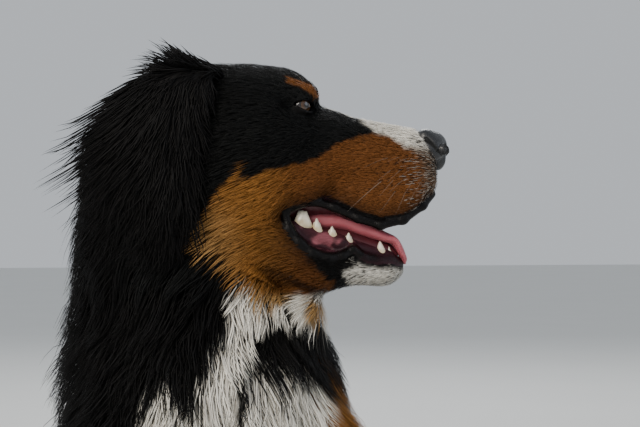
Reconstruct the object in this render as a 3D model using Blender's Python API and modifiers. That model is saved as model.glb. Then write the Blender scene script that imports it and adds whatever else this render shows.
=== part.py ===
"""Bernese mountain dog, life size, lying with its forelegs out and its head turned to its own left.

The dog faces -Y, its left side is +X and the floor is z = 0. All sizes are in metres, except those
of the head, which are in millimetres along its own forward, side and up directions.

The body is a set of rounded masses, as a sculptor would rough it out: balls and tapering limbs,
each with the depth of its coat and the lie of its hair. They are blocked out, remeshed into one
skin and settled on the smooth blend of all of them. Locks are combed over that core, joined to it,
and the whole is parted by thin cuts into the nodes that a person would name.
"""

import math
import random

import bmesh
import bpy
import numpy as np
from mathutils import Matrix, Vector

GAP = 0.0003
CORE_SHARE = 0.5
HEAD_YAW = math.radians(-10.0)
HEAD_ORIGIN = Vector((0.030, -0.130, 0.522))
SIDES = (-1.0, 1.0)

FORWARD = Vector((math.cos(HEAD_YAW), math.sin(HEAD_YAW), 0.0))
LEFTWARD = Vector((-math.sin(HEAD_YAW), math.cos(HEAD_YAW), 0.0))
UPWARD = Vector((0.0, 0.0, 1.0))
HEAD_TURN = Matrix((FORWARD, LEFTWARD, UPWARD)).transposed()


def head_point(forward, side, up):
    """A point of the head, given in millimetres along the head's own directions."""
    return HEAD_ORIGIN + HEAD_TURN @ Vector((forward, side, up)) * 0.001


class Ball:
    """An ellipsoid of flesh."""

    def __init__(self, centre, radii, coat=0.0, lie=(0, 1, 0), blend=0.03, turn=None, dent=False):
        self.centre = Vector(centre)
        self.radii = Vector(radii)
        self.coat, self.lie, self.blend, self.dent = coat, lie, blend, dent
        self.turn = turn or Matrix.Identity(3)

    def distance(self, points):
        local = (points - np.array(self.centre)) @ np.array(self.turn)
        radii = np.array(self.radii)
        near = np.linalg.norm(local / radii, axis=1)
        slope = np.linalg.norm(local / radii**2, axis=1)
        return near * (near - 1.0) / np.maximum(slope, 1e-9)

    def rough(self):
        """(centre, radii, turn) of the spheres that block this mass out."""
        return [(self.centre, self.radii, self.turn)]


class Limb:
    """A rounded cone of flesh between two points."""

    def __init__(self, start, end, radius, end_radius, coat=0.0, lie=(0, 1, 0), blend=0.03):
        self.start, self.end = Vector(start), Vector(end)
        self.radius, self.end_radius = radius, end_radius
        self.coat, self.lie, self.blend, self.dent = coat, lie, blend, False

    def distance(self, points):
        start, along = np.array(self.start), np.array(self.end - self.start)
        share = np.clip((points - start) @ along / (along @ along), 0.0, 1.0)
        nearest = start + share[:, None] * along
        radius = self.radius + (self.end_radius - self.radius) * share
        return np.linalg.norm(points - nearest, axis=1) - radius

    def rough(self):
        length = (self.end - self.start).length
        count = max(2, int(length / min(self.radius, self.end_radius)) + 2)
        spheres = []
        for i in range(count):
            share = i / (count - 1)
            radius = self.radius + (self.end_radius - self.radius) * share
            spheres.append((self.start.lerp(self.end, share), Vector((radius,) * 3), Matrix.Identity(3)))
        return spheres


def head_ball(centre, radii, coat=0.003, lie=(-1, 0, 0), blend=16):
    """A ball of the head, in millimetres but for its coat."""
    world_lie = tuple(HEAD_TURN @ Vector(lie))
    metres = Vector(radii) * 0.001
    return Ball(head_point(*centre), metres, coat, world_lie, blend * 0.001, HEAD_TURN)


def head_limb(start, end, radius, end_radius, coat=0.003, lie=(-1, 0, 0), blend=10):
    """A limb of the head, in millimetres but for its coat."""
    world_lie = tuple(HEAD_TURN @ Vector(lie))
    return Limb(
        head_point(*start), head_point(*end), radius * 0.001, end_radius * 0.001, coat, world_lie, blend * 0.001
    )


def head_chain(points, radius, coat=0.0, blend=5):
    """Short limbs end to end, as along a lip."""
    return [head_limb(a, b, radius, radius, coat, blend=blend) for a, b in zip(points, points[1:])]


def cranium_masses():
    """Skull, brows, cheeks, lids and upper muzzle, with the hollows before the eyes last."""
    masses = [
        head_ball((0, 0, 43), (70, 62, 50), blend=12),
        head_ball((36, 0, 50), (38, 46, 38), blend=12),
        head_ball((-45, 0, 46), (38, 48, 42), coat=0.012, lie=(-1, 0, -0.4), blend=14),
        head_ball((80, 0, 30), (28, 26, 24), blend=12),
        head_limb((75, 0, 12), (186, 0, -2), 29, 23.5, blend=12),
    ]
    for side in SIDES:
        masses += [
            head_ball((4, side * 50, 8), (54, 27, 44), coat=0.006, lie=(-1, 0, -0.3), blend=14),
            head_ball((-6, side * 46, -36), (50, 26, 48), coat=0.014, lie=(-1, 0, -0.6), blend=18),
            head_ball((52, side * 36, -22), (40, 19, 44), coat=0.004, lie=(-1, 0, -0.4), blend=16),
            head_limb((10, side * 62, 14), (60, side * 44, 18), 13, 11, blend=14),
            head_ball((56, side * 26, 60), (20, 18, 14), coat=0.003, blend=10),
            head_ball((84, side * 24, 10), (36, 20, 26), coat=0.003, blend=12),
            head_limb((95, side * 18, -10), (184, side * 14, -13), 25, 20, blend=12),
            head_ball((136, side * 25, -46), (58, 14, 37), blend=12),
            head_ball((186, side * 12, -33), (24, 19, 25), blend=10),
        ]
        masses += head_chain(upper_lip(side), 4.5)
    for side in SIDES:
        hollow = head_ball((90, side * 50, 42), (22, 14, 16), blend=12)
        hollow.dent = True
        masses += [hollow, head_ball(eye_centre(side), (15, 15, 14), coat=0.001, blend=5)]
    return masses


def upper_lip(side):
    """The rolled black edge of the upper lip, from the corner of the mouth to the front."""
    return [
        (40, side * 39, -68),
        (52, side * 39, -58),
        (70, side * 37, -53),
        (94, side * 35, -61),
        (121, side * 34, -77),
        (146, side * 32, -85),
        (172, side * 26, -79),
        (194, side * 15, -63),
        (205, side * 4, -50),
    ]


def lower_lip(side):
    """The rolled edge of the lower lip, with the pouch that hangs behind the canine."""
    return [
        (40, side * 39, -70),
        (45, side * 41, -89),
        (56, side * 42, -103),
        (71, side * 41, -115),
        (88, side * 38, -121),
        (104, side * 33, -119),
        (116, side * 28, -112),
        (128, side * 24, -121),
        (146, side * 19, -125),
        (159, side * 10, -123),
        (163, side * 2, -122),
    ]


def jaw_masses():
    """Lower jaw, chin, gums and lower lip."""
    masses = [
        head_ball((144, 0, -132), (24, 21, 16), coat=0.004, blend=12),
        head_ball((95, 0, -124), (62, 24, 16), coat=0.003, blend=12),
        head_ball((30, 0, -110), (50, 34, 26), coat=0.006, blend=20),
    ]
    for side in SIDES:
        masses += [
            head_limb((5, side * 34, -92), (80, side * 25, -134), 25, 19, coat=0.005, blend=16),
            head_limb((80, side * 25, -134), (148, side * 9, -134), 19, 15, coat=0.004, blend=12),
            head_limb((52, side * 27, -92), (100, side * 21, -108), 8, 7, coat=0.0, blend=6),
            head_limb((100, side * 21, -108), (152, side * 9, -121), 7, 6, coat=0.0, blend=6),
        ]
        masses += head_chain(lower_lip(side), 4.5)
    return masses


EYE_RADIUS = 12.0


def eye_centre(side):
    """The centre of an eyeball, in the head's millimetres."""
    return (57, side * 30, 48)


def neck_masses():
    """Neck, nape and throat, under the long ruff."""
    return [
        Limb((-0.008, 0.01, 0.25), (-0.036, -0.065, 0.38), 0.095, 0.080, 0.055, (0, 0.3, -1), 0.05),
        Limb((-0.036, -0.065, 0.38), head_point(-104, 0, -14), 0.080, 0.056, 0.044, (-0.4, 0.3, -0.9), 0.05),
        Limb((-0.003, -0.15, 0.26), head_point(-38, 0, -88), 0.070, 0.040, 0.045, (0.2, -0.2, -1), 0.05),
    ]


def trunk_masses():
    """Rib cage, breast, back, belly and croup. The rear of the trunk bends to the dog's left."""
    masses = [
        Ball((-0.006, 0.03, 0.172), (0.106, 0.235, 0.150), 0.045, (0, 1, -0.35), 0.05),
        Ball((-0.012, -0.145, 0.185), (0.084, 0.080, 0.125), 0.050, (0, -0.25, -1), 0.05),
        Ball((-0.008, 0.03, 0.290), (0.060, 0.14, 0.045), 0.045, (0, 1, -0.2), 0.05),
        Ball((0.022, 0.27, 0.160), (0.105, 0.17, 0.115), 0.045, (0.15, 1, -0.3), 0.05),
        Ball((0.012, 0.20, 0.095), (0.115, 0.20, 0.090), 0.040, (0, 0.8, -0.5), 0.05),
        Ball((0.060, 0.42, 0.165), (0.100, 0.13, 0.105), 0.045, (0.2, 1, -0.4), 0.05),
    ]
    for side in SIDES:
        masses += [
            Ball((-0.010 + side * 0.078, 0.0, 0.240), (0.048, 0.095, 0.100), 0.038, (0, 0.5, -0.9), 0.04),
            Ball((-0.012 + side * 0.086, -0.085, 0.170), (0.044, 0.080, 0.115), 0.035, (0, 0.3, -1), 0.04),
        ]
    return masses


def foreleg_masses(side):
    """Upper arm, forearm, pastern and toes of a foreleg stretched out on the floor."""
    x = -0.010 + side * 0.112
    masses = [
        Limb((x * 0.95, -0.15, 0.16), (x * 1.1, -0.02, 0.062), 0.046, 0.038, 0.025, (0, 0.3, -1), 0.03),
        Limb((x * 1.1, -0.02, 0.056), (x, -0.27, 0.040), 0.036, 0.025, 0.012, (0, -0.7, -0.5), 0.03),
        Limb((x, -0.27, 0.040), (x * 0.97, -0.36, 0.032), 0.027, 0.030, 0.007, (0, -1, -0.3), 0.02),
        Ball((x * 0.97, -0.385, 0.031), (0.038, 0.050, 0.030), 0.007, (0, -1, -0.3), 0.02),
    ]
    return masses + toe_masses(Vector((x * 0.97, -0.415, 0.0)), Vector((0, -1, 0)), 1.0)


def hind_leg_masses(side):
    """Thigh, shank, hock and foot of a folded hind leg."""
    hip = Vector((0.060 + side * 0.062, 0.41, 0.160))
    knee = Vector((0.042 + side * 0.122, 0.250, 0.098))
    hock = Vector((0.060 + side * 0.136, 0.47, 0.048))
    ball = Vector((0.046 + side * 0.150, 0.30, 0.030))
    masses = [
        Limb(hip, knee, 0.084, 0.054, 0.040, (side * 0.1, 0.7, -0.7), 0.04),
        Limb(knee, hock, 0.050, 0.030, 0.030, (0, 0.9, -0.4), 0.04),
        Limb(hock, ball, 0.027, 0.027, 0.010, (0, -0.9, -0.3), 0.02),
        Ball(ball, (0.034, 0.048, 0.028), 0.007, (0, -1, -0.3), 0.02),
    ]
    return masses + toe_masses(Vector((ball.x, ball.y - 0.03, 0.0)), Vector((0, -1, 0)), 0.9)


def toe_masses(root, forward, scale):
    """Four toes side by side, the middle two ahead."""
    across = forward.cross(UPWARD)
    masses = []
    for place in (-1.5, -0.5, 0.5, 1.5):
        ahead = 0.024 if abs(place) < 1 else 0.010
        centre = root + across * (place * 0.0185 * scale) + forward * ahead * scale + UPWARD * 0.021
        masses.append(Ball(centre, (0.0125 * scale, 0.026 * scale, 0.020), 0.004, (0, -1, -0.4), 0.004))
    return masses


TAIL_ROUTE = (
    ((0.070, 0.515, 0.135), 0.034),
    ((0.088, 0.580, 0.085), 0.026),
    ((0.125, 0.640, 0.055), 0.022),
    ((0.180, 0.675, 0.046), 0.019),
    ((0.245, 0.675, 0.042), 0.016),
    ((0.300, 0.640, 0.038), 0.012),
)


def tail_masses():
    """The tail, laid on the floor and curved to the dog's left."""
    masses = []
    for (start, radius), (end, end_radius) in zip(TAIL_ROUTE, TAIL_ROUTE[1:]):
        lie = Vector(end) - Vector(start)
        masses.append(Limb(start, end, radius, end_radius, 0.045, tuple(lie.normalized()), 0.03))
    return masses


def body_masses():
    """All masses behind the head."""
    masses = neck_masses() + trunk_masses() + tail_masses()
    for side in SIDES:
        masses += foreleg_masses(side) + hind_leg_masses(side)
    return masses


def blended(points, masses, share):
    """Distance of the points from the smooth blend of the masses, grown by a share of their coats."""
    total = masses[0].distance(points) - share * masses[0].coat
    for mass in masses[1:]:
        if mass.dent:
            own = -mass.distance(points) - share * mass.coat
            near = np.maximum(mass.blend - np.abs(total - own), 0.0) / mass.blend
            total = np.maximum(total, own) + near * near * mass.blend * 0.25
            continue
        own = mass.distance(points) - share * mass.coat
        near = np.maximum(mass.blend - np.abs(total - own), 0.0) / mass.blend
        total = np.minimum(total, own) - near * near * mass.blend * 0.25
    return total


def slope(points, masses, share):
    """(distance, outward unit direction) at the points, from four samples close by."""
    step = 0.0005
    corners = np.array([(1, -1, -1), (-1, -1, 1), (-1, 1, -1), (1, 1, 1)], float)
    samples = [blended(points + step * corner, masses, share) for corner in corners]
    gradient = sum(value[:, None] * corner for value, corner in zip(samples, corners)) / (4 * step)
    length = np.maximum(np.linalg.norm(gradient, axis=1), 1e-6)
    return sum(samples) / 4, gradient / length[:, None], length


def settle(points, masses, share, rounds=4):
    """Moves the points onto the blended surface."""
    for _ in range(rounds):
        distance, outward, length = slope(points, masses, share)
        move = np.clip(distance / np.maximum(length, 0.5), -0.01, 0.01)
        points = points - move[:, None] * outward
    return points


def mesh_object(name, points, faces):
    """A mesh object from points and faces, linked to the scene."""
    mesh = bpy.data.meshes.new(name)
    mesh.from_pydata([tuple(p) for p in points], [], faces)
    obj = bpy.data.objects.new(name, mesh)
    bpy.context.scene.collection.objects.link(obj)
    return obj


def applied(obj):
    """Bakes an object's modifiers into its mesh."""
    graph = bpy.context.evaluated_depsgraph_get()
    mesh = bpy.data.meshes.new_from_object(obj.evaluated_get(graph))
    old = obj.data
    obj.modifiers.clear()
    obj.data = mesh
    bpy.data.meshes.remove(old)
    return obj


def remeshed(obj, voxel):
    """Joins whatever overlaps in the object into one skin of even faces."""
    remesh = obj.modifiers.new("Remesh", "REMESH")
    remesh.mode = "VOXEL"
    remesh.voxel_size = voxel
    return applied(obj)


def coordinates(obj):
    """The object's vertices as an array."""
    flat = np.empty(len(obj.data.vertices) * 3, np.float32)
    obj.data.vertices.foreach_get("co", flat)
    return flat.reshape(-1, 3).astype(float)


def unit_sphere():
    """(points, faces) of a plain sphere of radius one."""
    build = bmesh.new()
    bmesh.ops.create_uvsphere(build, u_segments=16, v_segments=10, radius=1.0)
    points = np.array([vert.co[:] for vert in build.verts])
    faces = [[vert.index for vert in face.verts] for face in build.faces]
    build.free()
    return points, faces


def blockout(name, masses, share):
    """Overlapping spheres that fill the masses, grown by a share of their coats."""
    sphere, sphere_faces = unit_sphere()
    points, faces = [], []
    for mass in masses:
        if mass.dent:
            continue
        for centre, radii, turn in mass.rough():
            first = len(sphere) * len(points)
            grown = np.array(radii) + share * mass.coat
            points.append((sphere * grown) @ np.array(turn).T + np.array(centre))
            faces += [[first + corner for corner in face] for face in sphere_faces]
    return mesh_object(name, np.concatenate(points), faces)


def flesh(name, masses, share, voxel, triangles):
    """One closed skin round the masses, grown by a share of their coats, with about this many triangles."""
    obj = remeshed(blockout(name, masses, share), voxel)
    for rounds in (3, 2):
        settled = settle(coordinates(obj), masses, share, rounds)
        obj.data.vertices.foreach_set("co", settled.astype(np.float32).ravel())
        remeshed(obj, voxel)
    settled = settle(coordinates(obj), masses, share, 1)
    obj.data.vertices.foreach_set("co", settled.astype(np.float32).ravel())
    return thinned(obj, triangles)


def thinned(obj, triangles):
    """Fewer, larger triangles where the form is even."""
    obj.data.calc_loop_triangles()
    decimate = obj.modifiers.new("Decimate", "DECIMATE")
    decimate.ratio = min(1.0, triangles / len(obj.data.loop_triangles))
    return applied(obj)


def box(name, low, high, turn=None, place=None):
    """A plain block, given by its corners along its own directions."""
    low, high = Vector(low), Vector(high)
    build = bmesh.new()
    bmesh.ops.create_cube(build, size=1.0)
    bmesh.ops.scale(build, verts=build.verts, vec=high - low)
    bmesh.ops.translate(build, verts=build.verts, vec=(low + high) / 2)
    matrix = Matrix.Translation(Vector(place or (0, 0, 0))) @ (turn or Matrix.Identity(3)).to_4x4()
    bmesh.ops.transform(build, verts=build.verts, matrix=matrix)
    mesh = bpy.data.meshes.new(name)
    build.to_mesh(mesh)
    build.free()
    obj = bpy.data.objects.new(name, mesh)
    bpy.context.scene.collection.objects.link(obj)
    return obj


def boolean(obj, other, operation, solver="MANIFOLD"):
    """Cuts, joins or crosses the object with another, which is then removed."""
    cut = obj.modifiers.new("Cut", "BOOLEAN")
    cut.operation = operation
    cut.solver = solver
    cut.object = other
    applied(obj)
    discard(other)
    return obj


def discard(obj):
    """Removes an object and its mesh."""
    mesh = obj.data
    bpy.data.objects.remove(obj)
    bpy.data.meshes.remove(mesh)


def copied(obj, name):
    """A second object with a mesh of its own."""
    twin = bpy.data.objects.new(name, obj.data.copy())
    bpy.context.scene.collection.objects.link(twin)
    return twin


def largest(obj):
    """Keeps the largest closed surface of the object and drops crumbs."""
    build = bmesh.new()
    build.from_mesh(obj.data)
    build.verts.ensure_lookup_table()
    groups, seen = [], set()
    for seed in build.verts:
        if seed.index in seen:
            continue
        seen.add(seed.index)
        group, edge_of = [], [seed]
        while edge_of:
            vert = edge_of.pop()
            group.append(vert)
            for edge in vert.link_edges:
                other = edge.other_vert(vert)
                if other.index not in seen:
                    seen.add(other.index)
                    edge_of.append(other)
        groups.append(group)
    groups.sort(key=len)
    for group in groups[:-1]:
        bmesh.ops.delete(build, geom=group, context="VERTS")
    build.to_mesh(obj.data)
    build.free()
    return obj


def body_part(whole, region, name):
    """Takes the part of the whole inside the region, and leaves a thin gap round it."""
    low, high = region
    part = boolean(copied(whole, name), box("Region", low, high), "INTERSECT")
    wide_low = [value - GAP for value in low]
    wide_high = [value + GAP for value in high]
    boolean(whole, box("Gap", wide_low, wide_high), "DIFFERENCE")
    return largest(part)


def all_masses():
    """The whole animal but for its ears, in the order in which the masses blend."""
    return body_masses() + cranium_masses() + jaw_masses()


def head_prism(name, outline, half_width, grow=0.0):
    """A block across the head with the given side view, grown by some millimetres."""
    outline = grown(outline, grow)
    points = [head_point(forward, side * half_width, up) for side in SIDES for forward, up in outline]
    count = len(outline)
    faces = [tuple(range(count)), tuple(range(2 * count - 1, count - 1, -1))]
    faces += [(i, i + count, (i + 1) % count + count, (i + 1) % count) for i in range(count)]
    return outward(mesh_object(name, points, faces))


def grown(outline, distance):
    """A convex outline, listed clockwise, with every edge moved outward by the distance."""
    corners = [Vector(corner) for corner in outline]
    moved = []
    for before, corner, after in zip(corners[-1:] + corners[:-1], corners, corners[1:] + corners[:1]):
        first, second = (corner - before).normalized(), (after - corner).normalized()
        first_out, second_out = Vector((-first.y, first.x)), Vector((-second.y, second.x))
        middle = (first_out + second_out).normalized()
        moved.append(corner + middle * distance / max(middle.dot(first_out), 0.2))
    return [(corner.x, corner.y) for corner in moved]


def outward(obj):
    """Turns every face of the object outward."""
    build = bmesh.new()
    build.from_mesh(obj.data)
    bmesh.ops.recalc_face_normals(build, faces=build.faces)
    if build.calc_volume(signed=True) < 0:
        bmesh.ops.reverse_faces(build, faces=build.faces)
    build.to_mesh(obj.data)
    build.free()
    return obj


# Side views of the spaces that part the head, in millimetres, clockwise with the nose to the right
HEAD_SIDE = (
    (300.0, 200.0), (300.0, -190.0), (110.0, -178.0), (60.0, -168.0), (22.6, -146.0), (-132.9, 200.0),
)
JAW_SIDE = ((298.0, -149.5), (298.0, -240.0), (30.0, -240.0), (8.0, -146.0), (38.0, -70.0))
NOSE_SIDE = ((300.0, 50.0), (300.0, -60.0), (238.3, -60.0), (175.4, 50.0))


def loft(name, rings):
    """A closed skin through rings of points, with its two ends filled."""
    count = len(rings[0])
    faces = [tuple(reversed(range(count)))]
    for i in range(len(rings) - 1):
        for j in range(count):
            k = (j + 1) % count
            faces.append((i * count + j, i * count + k, (i + 1) * count + k, (i + 1) * count + j))
    faces.append(tuple(range((len(rings) - 1) * count, len(rings) * count)))
    return outward(mesh_object(name, [point for ring in rings for point in ring], faces))


def joined(name, pieces):
    """Puts loose closed pieces into one object, without joining their skins."""
    build = bmesh.new()
    for piece in pieces:
        build.from_mesh(piece.data)
    mesh = bpy.data.meshes.new(name)
    build.to_mesh(mesh)
    build.free()
    for piece in pieces:
        discard(piece)
    obj = bpy.data.objects.new(name, mesh)
    bpy.context.scene.collection.objects.link(obj)
    return obj


def united(core, pieces):
    """Joins closed pieces that may overlap one another onto the core, in one union."""
    group = bpy.data.collections.new("Pieces")
    bpy.context.scene.collection.children.link(group)
    for piece in pieces:
        group.objects.link(piece)
        bpy.context.scene.collection.objects.unlink(piece)
    union = core.modifiers.new("Union", "BOOLEAN")
    union.operation = "UNION"
    union.solver = "MANIFOLD"
    union.operand_type = "COLLECTION"
    union.collection = group
    applied(core)
    for piece in pieces:
        discard(piece)
    bpy.data.collections.remove(group)
    return core


# Eyes and lids

GAZE = (0.64, 0.765, 0.04)
LID_SLIT = (16.0, 5.8)
SOCKET_ROOM = 0.0004
SLIVERS = (0.0000004, 0.000001, 0.000003, 0.00001, 0.00003, 0.0001)


def eyeball(name, side, grow=0.0):
    """The eyeball, or with some growth the room it needs."""
    build = bmesh.new()
    bmesh.ops.create_uvsphere(build, u_segments=14, v_segments=9, radius=EYE_RADIUS * 0.001 + grow)
    mesh = bpy.data.meshes.new(name)
    bmesh.ops.translate(build, verts=build.verts, vec=head_point(*eye_centre(side)))
    build.to_mesh(mesh)
    build.free()
    obj = bpy.data.objects.new(name, mesh)
    bpy.context.scene.collection.objects.link(obj)
    return obj


def slit(side):
    """The almond of air between the lids, wider inside than a blade and lower towards the nose."""
    gaze = (HEAD_TURN @ Vector((GAZE[0], side * GAZE[1], GAZE[2]))).normalized()
    noseward = UPWARD.cross(gaze).normalized() * -side
    centre = head_point(*eye_centre(side))
    half, high = LID_SLIT[0] * 0.001, LID_SLIT[1] * 0.001
    rings = []
    for depth in (0.004, 0.030):
        ring = []
        for i in range(12):
            angle = 2 * math.pi * i / 12
            along, lift = math.cos(angle), math.sin(angle)
            lift *= math.sqrt(1 - 0.55 * along * along)
            up = lift * high - 0.0022 * along
            ring.append(centre + gaze * depth + noseward * along * half + UPWARD * up)
        rings.append(ring)
    return loft("Slit", rings)


# Nose pad

def nose_masses():
    """The leathery pad and its two wings, with the nostrils as hollows."""
    masses = [
        head_ball((203, 0, 6), (19, 20, 17), coat=0, blend=5),
        head_ball((212, 0, -8), (9, 8, 9), coat=0, blend=6),
        head_limb((196, -9, 14), (196, 9, 14), 9, 9, coat=0, blend=6),
    ]
    for side in SIDES:
        masses.append(head_ball((202, side * 13, 1), (15, 9.5, 14), coat=0, blend=5))
    for side in SIDES:
        for centre, radii in (
            ((220, side * 9.5, 2), (9, 4.0, 4.5)),
            ((211, side * 18, -2), (10, 5.5, 2.4)),
        ):
            nostril = head_ball(centre, radii, coat=0, blend=2)
            nostril.dent = True
            masses.append(nostril)
    return masses


# Tongue

TONGUE = (
    (58.0, -83.0, 14.0, 12.0),
    (78.0, -80.5, 17.0, 17.0),
    (99.0, -81.0, 18.0, 18.0),
    (118.0, -85.0, 19.0, 16.0),
    (134.0, -92.0, 20.5, 12.5),
    (148.0, -97.5, 21.5, 8.5),
    (160.0, -100.5, 21.0, 6.5),
    (168.0, -107.5, 18.5, 5.5),
    (172.5, -116.0, 14.0, 5.0),
    (174.5, -124.0, 7.0, 4.0),
)


def tongue(name, grow=0.0):
    """The tongue, from (forward, up, half width, thickness) along its middle, lapping over the front teeth."""
    rings = []
    for i, (forward, up, half, thick) in enumerate(TONGUE):
        before, after = TONGUE[max(i - 1, 0)], TONGUE[min(i + 1, len(TONGUE) - 1)]
        along = Vector((after[0] - before[0], after[1] - before[1])).normalized()
        end = -1 if i == 0 else (1 if i == len(TONGUE) - 1 else 0)
        middle = Vector((forward, up)) + along * end * grow * 1000
        lift = Vector((-along.y, along.x))
        ring = []
        for j in range(12):
            angle = 2 * math.pi * j / 12
            across = math.cos(angle) * (half + grow * 1000)
            height = math.sin(angle) * (thick / 2 + grow * 1000)
            groove = 0.9 * math.exp(-((across / 4.0) ** 2)) if math.sin(angle) > 0 else 0.0
            edge = 0.9 * (across / half) ** 2
            place = middle + lift * (height - groove + edge)
            ring.append(head_point(place.x, across, place.y))
        rings.append(ring)
    return loft(name, rings)


# Teeth

TEETH = (
    (59.0, 27.0, -84.0, 9.5, 5.5, 15.0),
    (74.5, 25.5, -92.0, 5.0, 3.5, 12.0),
    (93.5, 22.5, -98.0, 4.5, 3.2, 10.0),
    (111.0, 19.0, -106.0, 4.5, 3.0, 10.0),
    (147.0, 13.0, -120.0, 5.0, 4.2, 17.0),
    (154.0, 9.0, -122.0, 3.0, 3.0, 8.5),
    (157.0, 5.6, -122.5, 2.8, 2.8, 8.0),
    (158.5, 1.9, -122.5, 2.6, 2.6, 7.5),
)


def tooth(forward, side, up, long, wide, high):
    """One pointed tooth of the lower jaw, sunk in the gum."""
    rings = []
    for share, size in ((0.0, 0.9), (0.45, 1.0), (0.8, 0.55), (1.0, 0.16)):
        ring = []
        for i in range(7):
            angle = 2 * math.pi * i / 7
            ring.append(
                head_point(
                    forward + math.cos(angle) * long * size - share * 1.5,
                    side + math.sin(angle) * wide * size,
                    up + share * high,
                )
            )
        rings.append(ring)
    return loft("Tooth", rings)


# Ears

EAR_ROWS = (
    (-52.0, 42.0, 66.0, 28.0, 20.0),
    (-62.0, 55.0, 83.0, 34.0, 19.0),
    (-78.0, 70.0, 79.0, 39.0, 15.0),
    (-92.0, 80.0, 50.0, 41.0, 12.0),
    (-97.0, 84.0, 12.0, 41.0, 11.0),
    (-94.0, 85.0, -28.0, 36.0, 10.0),
    (-90.0, 83.0, -62.0, 24.0, 8.0),
    (-88.0, 80.0, -92.0, 8.0, 5.0),
)


def ear_ring(row, side, grow=(0.0, 0.0, 0.0, 0.0)):
    """One row across the flap: convex outside, hollow inside, grown ahead, behind, outward and inward."""
    forward, across, up, half, thick = row
    ahead, behind, out, inward = grow
    ring = []
    steps = (-1.0, -0.6, -0.2, 0.2, 0.6, 1.0)
    for face, places in ((1, steps), (-1, reversed(steps))):
        for place in places:
            reach = place * (half + (ahead if place > 0 else behind))
            depth = (thick / 2 + out) if face > 0 else -(thick / 2 + inward)
            bulge = across + depth * (1 - 0.75 * place * place) - 9.0 * place * place
            if face < 0:
                bulge -= 1.0
            ring.append(head_point(forward + reach, side * bulge, up))
    return ring


def ear_flap(name, side):
    """The hanging flap of an ear, cupped towards the cheek."""
    return loft(name, [ear_ring(row, side) for row in EAR_ROWS])


def ear_rooms(side):
    """The space kept clear for an ear and its locks, tight round the root: one block above, one below."""
    gap = SOCKET_ROOM * 1000
    forward, across, up, half, thick = EAR_ROWS[0]
    root = ear_ring((forward, across - gap, up - gap, half, thick), side, (gap, gap, gap, gap))
    fold = ear_ring(EAR_ROWS[1], side, (3, 10, 6, 1))
    bend = ear_ring(EAR_ROWS[2], side, (8, 40, 16, 4))
    hang = [ear_ring(row, side, (12, 62, 22, 5)) for row in EAR_ROWS[3:]]
    forward, across, up, half, thick = EAR_ROWS[-1]
    tips = ear_ring((forward, across, up - 42, half, thick), side, (8, 52, 22, 5))
    return [hull("Room", root + fold + bend), hull("Room", sum([bend, *hang, tips], []))]


def hull(name, points):
    """The tightest skin without hollows round the points."""
    build = bmesh.new()
    for point in points:
        build.verts.new(point)
    found = bmesh.ops.convex_hull(build, input=build.verts)
    spare = [item for item in found["geom_interior"] + found["geom_unused"] if isinstance(item, bmesh.types.BMVert)]
    bmesh.ops.delete(build, geom=list(set(spare)), context="VERTS")
    mesh = bpy.data.meshes.new(name)
    build.to_mesh(mesh)
    build.free()
    obj = bpy.data.objects.new(name, mesh)
    bpy.context.scene.collection.objects.link(obj)
    return outward(obj)


# Locks of hair


def weights(points, masses):
    """How much each mass counts at each point, by nearness."""
    solid = [mass for mass in masses if not mass.dent]
    distances = np.stack([mass.distance(points) for mass in solid])
    distances -= distances.min(axis=0)
    shares = np.exp(-distances / 0.022)
    return solid, shares / shares.sum(axis=0)


def hair_lie(points, masses):
    """The direction in which the hair lies at each point."""
    solid, shares = weights(points, masses)
    lies = np.array([Vector(mass.lie).normalized() for mass in solid])
    return shares.T @ lies


def coat_depth(points, masses):
    """The depth of the coat at each point."""
    solid, shares = weights(points, masses)
    return shares.T @ np.array([mass.coat for mass in solid])


def scattered(core, spacing, seed):
    """Points spread evenly over the core, no two closer than the spacing."""
    core.data.calc_loop_triangles()
    points = coordinates(core)
    corners = np.array([triangle.vertices[:] for triangle in core.data.loop_triangles])
    a, b, c = points[corners[:, 0]], points[corners[:, 1]], points[corners[:, 2]]
    areas = np.linalg.norm(np.cross(b - a, c - a), axis=1)
    chance = random.Random(seed)
    picks = chance.choices(range(len(corners)), weights=areas.tolist(), k=6000)
    kept, cells = [], {}
    for pick in picks:
        u, v = chance.random(), chance.random()
        if u + v > 1:
            u, v = 1 - u, 1 - v
        place = a[pick] + (b[pick] - a[pick]) * u + (c[pick] - a[pick]) * v
        key = tuple(int(value // spacing) for value in place)
        near = [
            other
            for dx in (-1, 0, 1)
            for dy in (-1, 0, 1)
            for dz in (-1, 0, 1)
            for other in cells.get((key[0] + dx, key[1] + dy, key[2] + dz), ())
        ]
        if all(np.linalg.norm(other - place) >= spacing for other in near):
            cells.setdefault(key, []).append(place)
            kept.append(place)
    return np.array(kept)


LOCK_RINGS = ((0.0, 0.36, 0.8), (0.34, 0.70, 1.0), (0.70, 0.90, 0.74), (1.0, 1.0, 0.0))


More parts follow.
